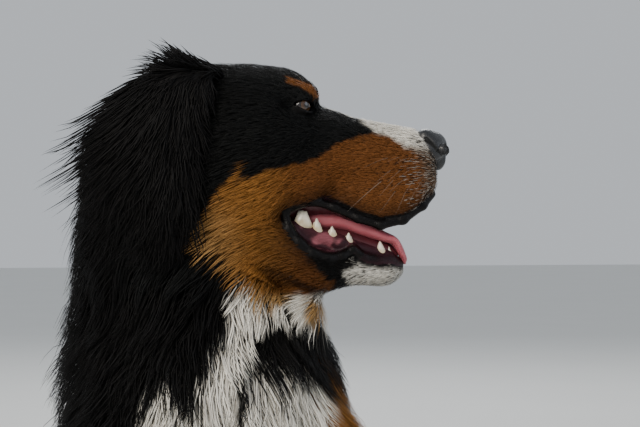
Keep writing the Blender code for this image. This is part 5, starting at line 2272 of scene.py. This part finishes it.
    def regions(self, points: Array, depth: Array) -> list[tuple[str, Array, int, str]]:
        """Parts the coat into pieces.

        Args:
            points: the roots.
            depth: the depth of the coat at each.

        Returns:
            For each piece its name, its roots, how many rings its tufts have and its slot.
        """
        head = head_space(points)
        on_head = (head[:, 2] > -150 + np.clip(-head[:, 0], 0, 200) * 1.2) & (head[:, 0] > -90)
        left = head[:, 1] > 0
        short = depth < LONG_HAIR
        y, x, z = points[:, 1], points[:, 0], points[:, 2]
        tail = ~on_head & (y > 0.54)
        low = ~on_head & (depth < 0.018) & ~tail
        rest = ~on_head & ~tail & ~low
        neck = rest & (z > 0.27 + (y + 0.06) * 0.44)
        breast = rest & ~neck & (y < -0.06)
        fore = rest & ~neck & ~breast & (y < 0.16)
        rear = rest & ~neck & ~breast & ~fore
        parts = (
            ("coat_face", on_head & short, left, 2, "coat_tan"),
            ("coat_cheek", on_head & ~short, left, 3, "coat_tan"),
            ("coat_neck", neck, left, 4, "coat_black"),
            ("coat_breast", breast, None, 4, "coat_white"),
            ("coat_ribs", fore, x > 0.02, 3, "coat_black"),
            ("coat_rump", rear, x > 0.05, 3, "coat_black"),
            ("coat_legs", low, None, 2, "coat_tan"),
            ("coat_tail", tail, None, 3, "coat_black"),
        )
        found = []
        for name, mask, leftward, rings, slot in parts:
            if leftward is None:
                found.append((name, mask, rings, slot))
                continue
            for word, half in (("_right", ~leftward), ("_left", leftward)):
                found.append((name + word, mask & half, rings, slot))
        return found


# Ears

EAR_ROWS = (
    (-52.0, 42.0, 66.0, 28.0, 20.0),
    (-62.0, 55.0, 83.0, 34.0, 19.0),
    (-78.0, 70.0, 79.0, 39.0, 15.0),
    (-92.0, 80.0, 50.0, 41.0, 12.0),
    (-97.0, 84.0, 12.0, 41.0, 11.0),
    (-94.0, 85.0, -28.0, 36.0, 10.0),
    (-90.0, 83.0, -62.0, 24.0, 8.0),
    (-88.0, 80.0, -92.0, 8.0, 5.0),
)


def spline(rows: tuple, places: Array) -> Array:
    """Smooth values between rows of numbers.

    Args:
        rows: one row for each whole place.
        places: where to read, from 0 to the last row.

    Returns:
        One row of values a place.
    """
    table = np.array(rows, float)
    padded = np.concatenate([2 * table[:1] - table[1:2], table, 2 * table[-1:] - table[-2:-1]])
    low = np.clip(np.floor(places).astype(int), 0, len(table) - 2)
    t = (places - low)[:, None]
    p0, p1, p2, p3 = (padded[low + i] for i in range(4))
    square = 2 * p0 - 5 * p1 + 4 * p2 - p3
    return 0.5 * (2 * p1 + (p2 - p0) * t + square * t**2 + (3 * p1 - p0 - 3 * p2 + p3) * t**3)


@dataclass
class Ear:
    """A hanging ear with its long, wavy hair."""

    side: Side
    coat: Coat
    hairs: int = 3700
    rows: int = 44
    around: int = 20

    def surface(self, row: Array, place: Array) -> Array:
        """Points just under the outer face of the flap, where hair is rooted.

        Args:
            row: how far down the flap, in rows.
            place: from -1 behind to 1 ahead.

        Returns:
            The points, in metres.
        """
        forward, across, up, half, thick = spline(EAR_ROWS, row).T
        bulge = across + (thick / 2) * (1 - 0.75 * place**2) - 9.0 * place**2 - 1.0
        local = np.stack([forward + place * half, self.side.value * bulge, up], axis=1)
        return np.array(HEAD_ORIGIN) + local * MM @ np.array(HEAD_TURN).T

    def flap(self) -> Object:
        """The flap itself, cupped towards the cheek.

        Returns:
            The flap.
        """
        rings = []
        rows = np.linspace(0, len(EAR_ROWS) - 1, self.rows)
        cushions = 20.0 * smooth(0.6, 1.6, rows) * smooth(4.2, 3.0, rows)
        for (forward, across, up, half, thick), cushion in zip(spline(EAR_ROWS, rows), cushions):
            ring = []
            steps = np.linspace(-1, 1, self.around)
            for face, places in ((1, steps), (-1, steps[::-1])):
                for place in places:
                    bulge = across + face * thick / 2 * (1 - 0.75 * place * place) - 9.0 * place * place
                    bulge -= 1.0 + cushion * (1 - place * place) if face < 0 else 0.0
                    ring.append(head_point(forward + place * half, self.side.value * bulge, up))
            rings.append(ring)
        return loft("ear_" + self.side.name.lower() + "_flap", rings)

    def hair(self, chance: Chance) -> Tufts:
        """Long hair from the outer face and the edges of the flap.

        Args:
            chance: the source of chance.

        Returns:
            The tufts.
        """
        count = self.hairs
        row = chance.uniform(0.1, 6.6, count)
        place = np.clip(chance.uniform(-1.08, 1.0, count), -1.0, 1.0)
        front = chance.random(count) < 0.20
        place[front] = chance.uniform(0.74, 1.0, int(front.sum()))
        start = self.surface(row, place)
        top, low = smooth(2.2, 1.0, row), smooth(3.6, 5.5, row)
        slant = 38 + 24 * (place + 1) - top * (10 + 95 * smooth(-0.8, 0.1, place))
        slant = np.radians(slant + (82 - slant) * low * 0.8 + chance.normal(0, 7, count))
        fall, back = np.sin(slant), np.cos(slant)
        length = 48 + 28 * smooth(1.0, 3.0, row) - 16 * smooth(4.0, 6.5, row)
        length = length * chance.uniform(0.6, 1.15, count)
        length *= 1 + 0.35 * smooth(-0.1, -0.9, place) * smooth(1.2, 2.4, row) * smooth(5.5, 4.0, row)
        edge = smooth(0.35, 0.95, place)
        length *= 1 - 0.40 * edge * (1 - smooth(3.5, 5.0, row))
        fall += edge * chance.normal(0, 0.15, count)
        back += edge * (chance.normal(-0.12, 0.20, count) + 0.22 * low)
        lift = chance.uniform(3.0, 10.0, count)
        spread = top * (chance.normal(-0.10, 0.38, count))
        locks = np.floor(row * 2.3).astype(int) * 17 + np.floor((place + 1.1) * 3.4).astype(int)
        phases = np.random.default_rng(77).uniform(0, 2 * math.pi, 400)[locks % 400]
        bends = np.random.default_rng(78).uniform(-1.5, 1.5, 400)[locks % 400]
        middles = []
        for share in np.linspace(0, 1, 6):
            along, whirl = length * share, bends * 0.09 * length * share
            swing = np.sin(2 * math.pi * along / 62 + phases) * 0.075 * length * share + whirl
            bulge = lift * math.sin(share * 2.4) + 2.0 * share + spread * along
            ahead = -back * along * (0.6 + 0.4 * share) + swing * np.abs(fall) * 0.9
            rise = -along * fall + swing * (1 - np.abs(fall)) * 0.9
            drift = np.stack([ahead, self.side.value * bulge, rise], axis=1)
            middles.append(start + drift * MM @ np.array(HEAD_TURN).T)
        middles = np.array(middles)
        heading = np.gradient(middles, axis=0)
        heading /= np.maximum(np.linalg.norm(heading, axis=2), 1e-9)[..., None]
        out = np.broadcast_to(np.array(LEFTWARD) * self.side.value, heading.shape)
        across = np.cross(heading, out)
        across /= np.maximum(np.linalg.norm(across, axis=2), 1e-9)[..., None]
        profile = np.array([0.0, 1.0, 0.95, 0.8, 0.55, 0.0])
        halves = profile[:, None] * (0.75e-3 * chance.uniform(0.7, 1.4, count))[None]
        colours = self.coat.skin.markings.shade("black") * chance.uniform(0.7, 1.6, (count, 1))
        patches = self.coat.roots.patch(start)
        return Tufts(middles, across, np.cross(across, heading), halves, colours, patches)

    def build(self, hide: Material, fibre: Material) -> None:
        """The flap and its hair.

        Args:
            hide: the finish of the flap.
            fibre: the finish of the hair.
        """
        word = self.side.name.lower()
        flap = self.flap()
        black = self.coat.skin.markings.shade("black")
        paint(flap, "coat", np.tile(black, (len(flap.data.vertices), 1)))
        weigh(flap, "bare", np.zeros(len(flap.data.vertices)))
        seat(flap, hide)
        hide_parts("ear_" + word)
        chance = np.random.default_rng(31 + int(self.side.value))
        seat(self.hair(chance).mesh("coat_ear_" + word), fibre)


# Eyes


@dataclass
class Eye:
    """An eyeball with its iris and pupil, and the rims of its lids."""

    side: Side
    iris_radius: float = 7.2
    pupil_radius: float = 3.2
    bulge: float = 0.35
    white_radius: float = 9.5
    pupil: str = "#050404"
    inner_iris: str = "#2a180b"
    outer_iris: str = "#4a3114"
    iris_edge: str = "#0d0705"
    white: str = "#1b1412"
    corner: str = "#120c0b"
    around: int = 64
    rings: int = 60

    def globe(self) -> Object:
        """The eyeball, turned round the gaze, with a slight bulge over the iris.

        Returns:
            The eyeball.
        """
        gaze = gaze_of(self.side)
        turn = gaze.to_track_quat("Z", "Y").to_matrix()
        centre = head_point(*eye_centre(self.side))
        rings, colours = [], []
        iris_angle = math.asin(self.iris_radius / EYE_RADIUS)
        for angle in np.linspace(0, math.pi, self.rings + 2)[1:-1]:
            bulge = self.bulge * max(0.0, 1 - (angle / iris_angle) ** 2)
            radius = (EYE_RADIUS - 0.15 + bulge) * MM
            reach = math.sin(angle) * EYE_RADIUS if angle < math.pi / 2 else math.inf
            colours += [self.tint(reach)] * self.around
            ring = []
            for i in range(self.around):
                around = 2 * math.pi * i / self.around
                circle = (math.sin(angle) * math.cos(around), math.sin(angle) * math.sin(around))
                ring.append(centre + turn @ Vector((*circle, math.cos(angle))) * radius)
            rings.append(ring)
        obj = loft("eye_globe_" + self.side.name.lower(), rings)
        paint(obj, "coat", np.array(colours))
        layer = obj.data.uv_layers.new(name="Strand")
        vertex = np.empty(len(obj.data.loops), np.int32)
        obj.data.loops.foreach_get("vertex_index", vertex)
        uv = np.stack([(vertex % self.around) / self.around, vertex // self.around / self.rings], axis=1)
        layer.data.foreach_set("uv", uv.astype(np.float32).ravel())
        return obj

    def tint(self, radius: float) -> Array:
        """The eye's colour at a distance from the middle of the pupil, in millimetres.

        Args:
            radius: that distance.

        Returns:
            A linear colour.
        """
        if radius < self.pupil_radius:
            return linear(self.pupil)
        if radius < self.iris_radius - 0.7:
            share = (radius - self.pupil_radius) / (self.iris_radius - self.pupil_radius)
            return linear(self.inner_iris) * (1 - share) + linear(self.outer_iris) * share
        if radius < self.iris_radius + 0.5:
            return linear(self.iris_edge)
        return linear(self.white) if radius < self.white_radius else linear(self.corner)

    def rim(self) -> Object:
        """The moist black edge of both lids, a thin roll round the opening.

        Returns:
            The rim.
        """
        centre, gaze, ball = head_point(*eye_centre(self.side)), gaze_of(self.side), EYE_RADIUS + 1.3
        line = []
        for point in lid_line(self.side, 0.0, -0.0009, 72):
            beside = (point - centre).length * 1000
            line.append(point + gaze * math.sqrt(max(ball**2 - beside**2, 16.0)) * MM)
        points, faces = [], []
        count = len(line)
        for i, point in enumerate(line):
            along = (line[(i + 1) % count] - line[i - 1]).normalized()
            out = (point - centre).normalized()
            beside = along.cross(out).normalized()
            for j in range(8):
                angle = 2 * math.pi * j / 8
                points.append(point + (out * math.cos(angle) * 1.6 + beside * math.sin(angle) * 1.0) * MM)
        for i in range(count):
            for j in range(8):
                k, n = (j + 1) % 8, (i + 1) % count
                faces.append((i * 8 + j, n * 8 + j, n * 8 + k, i * 8 + k))
        return outward_faces(mesh_of("lid_rim_" + self.side.name.lower(), points, faces))

    def build(self, tissue: Material, hide: Material, lid: Array) -> None:
        """The eyeball and the lids' rims.

        Args:
            tissue: the eyeball's finish.
            hide: the rim's finish.
            lid: the rim's linear colour.
        """
        globe = seat(self.globe(), tissue)
        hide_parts("eye_" + self.side.name.lower())
        rim = self.rim()
        paint(rim, "coat", np.tile(lid, (len(rim.data.vertices), 1)))
        weigh(rim, "bare", np.ones(len(rim.data.vertices)))
        seat(rim, hide)


# Nose, mouth and claws


@dataclass
class Nose:
    """The leathery pad with its wings and nostrils."""

    voxel: float = 0.0008

    def slit(self, side: Side) -> list[tuple]:
        """The line of a nostril's slit, from behind the wing to the opening."""
        s = side.value
        return [(198, s * 18.5, 11), (204, s * 19.5, 5.5), (209.5, s * 19, -1), (215, s * 16, -4)]

    def hollow(self, points: Array) -> Array:
        """1 inside the nostrils and 0 on the pad.

        Args:
            points: rows of x, y and z.

        Returns:
            One share a point.
        """
        head = head_space(points)
        inside = np.zeros(len(head))
        for side in Side:
            opening = (head - np.array((218, side.value * 14, 0))) / np.array((6.5, 8.0, 6.5))
            inside = np.maximum(inside, smooth(1.05, 0.85, np.linalg.norm(opening, axis=1)))
            inside = np.maximum(inside, smooth(3.8, 2.5, from_line(self.slit(side), head)))
        return inside

    def masses(self) -> list[Mass]:
        """The pad and its two wings, with the nostrils as hollows.

        Returns:
            The masses.
        """
        masses: list[Mass] = [
            head_ball((203, 0, 5), (19.5, 20, 17), coat=0, blend=5),
            head_ball((212, 0, -10), (9.5, 9, 13), coat=0, blend=6),
            head_limb((197, -9, 14), (197, 9, 14), 9, 9, coat=0, blend=6),
        ]
        masses += [head_ball((203, side.value * 13, 0), (16, 9.5, 14), coat=0, blend=4) for side in Side]
        for side in Side:
            opening = head_ball((217, side.value * 14, 0), (6.5, 8, 6), coat=0, blend=2)
            masses += [dented(hollow) for hollow in (opening, *head_chain(self.slit(side), 2.0, 2))]
        groove = head_limb((223, 0, -7), (217, 0, -26), 1.2, 1.2, coat=0, blend=2)
        return masses + [dented(groove)]

    def build(self, finish: NoseLeather) -> None:
        """The pad.

        Args:
            finish: the pad's finish.
        """
        flesh = Flesh(self.masses())
        pad = fleshed("nose_pad", flesh, self.voxel)
        weigh(pad, "hollow", self.hollow(coordinates(pad)))
        seat(pad, finish.material())
        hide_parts("nose")


@dataclass
class Tongue:
    """The tongue, lapping over the front teeth."""

    rows: tuple = (
        (52.0, -86.0, 15.0, 14.0), (72.0, -80.5, 19.0, 21.0), (92.0, -80.0, 20.0, 21.0),
        (110.0, -82.0, 21.0, 21.0), (126.0, -87.5, 22.0, 20.0), (138.0, -93.5, 22.0, 16.0),
        (151.0, -98.0, 21.5, 12.5), (162.0, -102.5, 20.0, 10.5), (168.5, -111.5, 17.0, 9.5),
        (172.5, -120.0, 12.0, 8.0), (174.5, -126.0, 6.0, 6.0), (175.2, -129.0, 2.0, 2.5),
    )
    along: int = 70
    around: int = 48

    def build(self, finish: MoistFlesh) -> None:
        """The tongue with its middle groove and gently waved edges.

        Args:
            finish: the tongue's finish.
        """
        table = spline(self.rows, np.linspace(0, len(self.rows) - 1, self.along))
        rings = []
        for i, (forward, up, half, thick) in enumerate(table):
            before, after = table[max(i - 1, 0)], table[min(i + 1, len(table) - 1)]
            way = Vector((after[0] - before[0], after[1] - before[1])).normalized()
            lift = Vector((-way.y, way.x))
            ring = []
            for j in range(self.around):
                angle = 2 * math.pi * j / self.around
                rise, across = math.sin(angle), math.cos(angle) * half
                height = rise * abs(rise) ** -0.25 * thick / 2 if rise else 0.0
                groove = 1.6 * math.exp(-((across / 3.2) ** 2)) if rise > 0 else 0.0
                edge = 0.9 * (across / half) ** 2
                wave = 0.7 * (across / half) ** 2 * math.sin(i * 0.45 + (2.0 if across > 0 else 0.0))
                place = Vector((forward, up)) + lift * (height - groove + edge + wave)
                ring.append(head_point(place.x, across, place.y))
            rings.append(ring)
        tongue = loft("tongue_flesh", rings)
        seat(tongue, finish.material())
        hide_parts("tongue")


@dataclass
class MouthLining:
    """The dark flesh behind the tongue and the lips: the ridged palate and the floor of the mouth."""

    palate: tuple = (
        (34.0, -66.0, 24.0, 54.0), (60.0, -54.0, 27.0, 50.0), (85.0, -51.0, 26.0, 52.0),
        (110.0, -50.0, 24.0, 50.0), (130.0, -45.0, 21.0, 40.0), (168.0, -38.0, 16.0, 22.0),
    )
    floor: tuple = (
        (40.0, -96.0, 24.0, 44.0), (62.0, -100.0, 24.0, 42.0), (84.0, -104.0, 22.0, 42.0),
        (112.0, -107.0, 19.0, 38.0), (138.0, -112.0, 17.0, 28.0), (158.0, -117.0, 12.0, 22.0),
        (167.0, -122.0, 7.0, 14.0),
    )
    along: int = 60
    around: int = 40

    def body(self, name: str, rows: tuple, ridge: float) -> Object:
        """A rounded body along the mouth.

        Args:
            name: the piece's name.
            rows: forward, up, half width and thickness at even steps.
            ridge: the height of the ridges across it, in millimetres.

        Returns:
            The body.
        """
        rings = []
        table = spline(rows, np.linspace(0, len(rows) - 1, self.along))
        for i, (forward, up, half, thick) in enumerate(table):
            ring = []
            for j in range(self.around):
                angle = 2 * math.pi * j / self.around
                lift = math.copysign(abs(math.sin(angle)) ** 0.7, math.sin(angle)) * thick / 2
                lift += ridge * math.sin(i * 1.6) * abs(math.sin(angle))
                ring.append(head_point(forward, math.cos(angle) * half, up + lift))
            rings.append(ring)
        return loft(name, rings)

    def build(self, finish: MoistFlesh) -> None:
        """Both bodies.

        Args:
            finish: the finish of both.
        """
        material = finish.material()
        seat(self.body("palate", self.palate, 0.7), material)
        seat(self.body("mouth_floor", self.floor, 0.3), material)


@dataclass
class Teeth:
    """The lower teeth, and the upper ones behind the lip.

    Each row holds a tooth's place forward, out and up, its length, width and height, and the cusps
    along its crown as (place, height, spread). An upper crown has a negative height.
    """

    single: tuple = ((0.0, 1.0, 0.5),)
    premolar: tuple = ((0.0, 1.0, 0.64), (-0.78, 0.62, 0.36), (0.78, 0.55, 0.36))
    carnassial: tuple = ((0.0, 1.0, 1.1), (-0.5, 0.96, 0.7), (0.5, 0.94, 0.7))
    around: int = 28

    def rows(self) -> list[tuple]:
        """The teeth of one side of both jaws, the lower ones first.

        Returns:
            One row a tooth.
        """
        return [
            (59.5, 28.5, -88.0, 12.5, 5.5, 20.0, self.carnassial),
            (75.5, 27.5, -95.0, 8.0, 4.0, 18.0, self.premolar),
            (92.5, 25.5, -101.5, 8.0, 3.8, 15.5, self.premolar),
            (111.0, 22.5, -108.0, 7.0, 3.6, 15.0, self.premolar),
            (148.0, 14.5, -120.0, 7.0, 4.8, 17.5, self.single),
            (157.5, 10.0, -121.0, 4.2, 3.2, 12.5, self.single),
            (162.0, 6.0, -121.5, 3.6, 3.0, 11.5, self.single),
            (164.0, 2.0, -121.5, 3.2, 2.8, 11.0, self.single),
            (80.0, 27.0, -50.0, 10.0, 4.5, -15.0, self.carnassial),
            (104.0, 25.0, -46.0, 6.5, 3.2, -13.0, self.premolar),
            (124.0, 22.5, -44.0, 6.0, 3.0, -12.0, self.premolar),
            (160.0, 15.5, -36.0, 5.5, 4.2, -26.0, self.single),
            (176.0, 9.5, -34.0, 3.2, 3.0, -14.0, self.single),
            (180.0, 5.6, -34.0, 2.8, 2.8, -12.0, self.single),
            (182.0, 1.9, -34.0, 2.8, 2.8, -12.0, self.single),
        ]

    def crown(self, row: tuple, side: Side) -> Object:
        """One tooth as a bulging base that ends in its cusps.

        Args:
            row: the tooth's place, size and cusps.
            side: which side of the mouth.

        Returns:
            The tooth.
        """
        forward, out, up, long, wide, high, cusps = row
        single = len(cusps) == 1
        rings = []
        for share in (0.0, 0.2, 0.4, 0.55, 0.7, 0.82, 0.91, 0.97, 1.0):
            size = 0.92 + 0.12 * math.sin(min(share * 2.2, 1.0) * math.pi / 2)
            taper = math.sqrt(max(0.0, 1 - share**2.4))
            slim = taper * 0.3 + 0.7 * (1 - share) if single else 1 - 0.62 * share
            lean = share * high * (0.10 if single else 0.0)
            ring = []
            for i in range(self.around):
                angle = 2 * math.pi * i / self.around
                place = math.cos(angle)
                top = 1.0 if single else self.profile(cusps, place * 0.95 * (1 - 0.3 * share))
                ahead = forward + place * long * size * slim - lean
                beside = side.value * (out + math.sin(angle) * wide * size * taper)
                ring.append(head_point(ahead, beside, up + high * (0.5 * share + 0.5 * share * top)))
            rings.append(ring)
        return loft("tooth", rings)

    def profile(self, cusps: tuple, place: float) -> float:
        """How high the crown is at a place along it, from 0 to 1."""
        return max(height * math.exp(-(((place - middle) / spread) ** 2)) for middle, height, spread in cusps)

    def build(self, finish: Enamel) -> None:
        """All teeth in one piece.

        Args:
            finish: the enamel.
        """
        teeth = gathered("teeth", [self.crown(row, side) for side in Side for row in self.rows()])
        head = head_space(coordinates(teeth))
        gum_line = np.interp(head[:, 0], (59, 111, 158), (-80, -101, -117))
        weigh(teeth, "gum", smooth(-2.0, 5.0, gum_line - head[:, 2] + 3.0) * 1.4)
        seat(teeth, finish.material())


@dataclass
class Claws:
    """Blunt claws that curve down from the toes."""

    anatomy: Anatomy
    length: float = 0.013

    def claw(self, tip: Vector, scale: float) -> Object:
        """One claw from its root.

        Args:
            tip: where it starts.
            scale: its size against those of a forepaw.

        Returns:
            The claw.
        """
        rings = []
        angles = np.linspace(0, 2 * math.pi, 15)[:-1]
        circle = [Vector((math.cos(angle) * 0.0030, 0.0, math.sin(angle) * 0.0040)) for angle in angles]
        for share in np.linspace(0, 1, 8):
            size = 1.0 - 0.72 * share**1.6
            centre = tip + Vector((0, -self.length * share, -0.006 * share * share)) * scale
            rings.append([centre + corner * size * scale for corner in circle])
        return loft("claw", rings)

    def build(self, finish: Horn) -> None:
        """All claws in one piece.

        Args:
            finish: the claws' finish.
        """
        found = []
        for side in Side:
            for root, scale in ((self.anatomy.foreleg_root(side), 1.0), (self.anatomy.hind_root(side), 0.9)):
                for place, ahead in TOES:
                    step = (-place * TOE_SPACING * scale, -(ahead + 0.020) * scale, 0.0145)
                    found.append(self.claw(root + Vector(step), scale))
        seat(gathered("claws", found), finish.material())


@dataclass
class Whiskers:
    """Stiff, tapered whiskers on the muzzle, the brows and the cheeks."""

    skin: Skin
    thickness: float = 0.00017

    def rows(self) -> list[tuple]:
        """Forward, up, length, droop and thickness of the whiskers of one side, in millimetres.

        Returns:
            One row a whisker.
        """
        found = [(149.0, -35.0, 50.0, 0.95, 2.0)]
        for row, up in enumerate((-10.0, -22.0, -34.0, -46.0)):
            for i in range(4):
                found.append((190.0 - i * 11.0 + row * 2.0, up, 13.0 + 4.0 * i, 0.3 + 0.3 * row, 1.0))
        return found + [(62.0, 74.0, 22.0, -0.5, 1.0), (150.0, -142.0, 16.0, 1.2, 1.0)]

    def build(self, finish: Horn) -> None:
        """All whiskers in one piece.

        Args:
            finish: the whiskers' finish.
        """
        chance = np.random.default_rng(12)
        found = []
        for side in Side:
            for forward, up, length, droop, stout in self.rows():
                guess = np.array([head_point(forward, side.value * 34.0, up)])
                start, out = self.skin.head_flesh.settle(guess, 6)
                out = Vector(out[0])
                heading = (out * 0.55 - FORWARD * 0.6 - UPWARD * droop * 0.6).normalized()
                heading += Vector(chance.normal(0, 0.16, 3))
                side_way = heading.cross(UPWARD).normalized()
                up_way = side_way.cross(heading).normalized()
                angles = np.linspace(0, 2 * math.pi, 6)[:-1]
                circle = [side_way * math.cos(angle) + up_way * math.sin(angle) for angle in angles]
                rings = []
                for share in np.linspace(0, 1, 9):
                    bend = -FORWARD * 0.18 * share * share - UPWARD * 0.25 * share * share
                    middle = Vector(start[0]) + (heading * share + bend) * length * MM
                    size = self.thickness * stout * (1 - 0.85 * share)
                    rings.append([middle + corner * size for corner in circle])
                found.append(loft("whisker", rings))
        seat(gathered("whiskers", found), finish.material())


# Studio


@dataclass
class Studio:
    """A pale floor, soft lamps and the camera at the photograph's angle."""

    azimuth: float = math.radians(10.0)
    distance: float = 1.9
    lens: float = 94.6

    def camera(self) -> None:
        """The camera, level with the jaw, on the dog's right."""
        right = Vector((math.cos(self.azimuth), -math.sin(self.azimuth), 0.0))
        view = Vector((math.sin(self.azimuth), math.cos(self.azimuth), 0.0))
        target = HEAD_ORIGIN + ORIGIN_SHIFT + right * 0.0791 - UPWARD * 0.0718
        data = bpy.data.cameras.new("camera")
        data.lens = self.lens
        data.sensor_width = 36.0
        data.clip_end = 100.0
        camera = bpy.data.objects.new("camera", data)
        camera.location = target - view * self.distance
        camera.rotation_euler = view.to_track_quat("-Z", "Y").to_euler()
        bpy.context.scene.collection.objects.link(camera)
        bpy.context.scene.camera = camera

    def lamp(self, name: str, place: tuple, size: float, power: float, colour: str) -> None:
        """A large soft lamp aimed at the dog.

        Args:
            name: the lamp's name.
            place: where it stands.
            size: its width in metres.
            power: its power in watts.
            colour: its sRGB colour.
        """
        data = bpy.data.lights.new(name, "AREA")
        data.shape, data.size, data.energy = "DISK", size, power
        data.color = tuple(linear(colour))
        obj = bpy.data.objects.new(name, data)
        obj.location = place
        aim = Vector((-0.02, -0.15, 0.40)) - Vector(place)
        obj.rotation_euler = aim.to_track_quat("-Z", "Y").to_euler()
        bpy.context.scene.collection.objects.link(obj)

    def build(self) -> None:
        """Floor, lamps, sky and camera."""
        self.camera()
        floor = mesh_of("floor", [(-12, -12, 0), (12, -12, 0), (12, 12, 0), (-12, 12, 0)], [(0, 1, 2, 3)])
        floor.data.materials.append(StudioFloor().material())
        self.lamp("key", (-1.45, -1.85, 1.75), 1.6, 66.0, "#fff6ea")
        self.lamp("fill", (2.2, -1.6, 1.4), 1.8, 12.0, "#eef3ff")
        self.lamp("back", (0.6, 2.2, 2.4), 1.6, 40.0, "#ffffff")
        world = bpy.data.worlds.new("pale_studio")
        world.use_nodes = True
        background = world.node_tree.nodes["Background"]
        background.inputs["Color"].default_value = (*linear("#dfe4ea"), 1)
        background.inputs["Strength"].default_value = 0.75
        bpy.context.scene.world = world


def main() -> None:
    """Builds every piece in order and reports it."""
    logging.basicConfig(level=logging.INFO, format="%(name)s %(message)s")
    anatomy = Anatomy()
    markings = Markings(CoatColours())
    Studio().build()
    skin = Skin(anatomy, markings)
    skin_piece, roots = skin.build(Hide())
    coat = Coat(skin, roots)
    fibre = coat.build(HairFibre())[0].data.materials[0]
    hide = skin_piece.data.materials[0]
    tissue = EyeTissue().material()
    for side in Side:
        Ear(side, coat).build(hide, fibre)
        Eye(side).build(tissue, hide, markings.shade("lid"))
    Nose().build(NoseLeather())
    Tongue().build(MoistFlesh("tongue_flesh", "#b8646c", "#a04e58"))
    MouthLining().build(MoistFlesh("mouth_flesh", "#3c1a20", "#54262c"))
    Teeth().build(Enamel())
    Claws(anatomy).build(Horn("claw_horn", "#2a2522", "#453b34"))
    Whiskers(skin).build(Horn("whisker_hair", "#9a8f80", "#4a423a"))


if __name__ == "__main__":
    main()
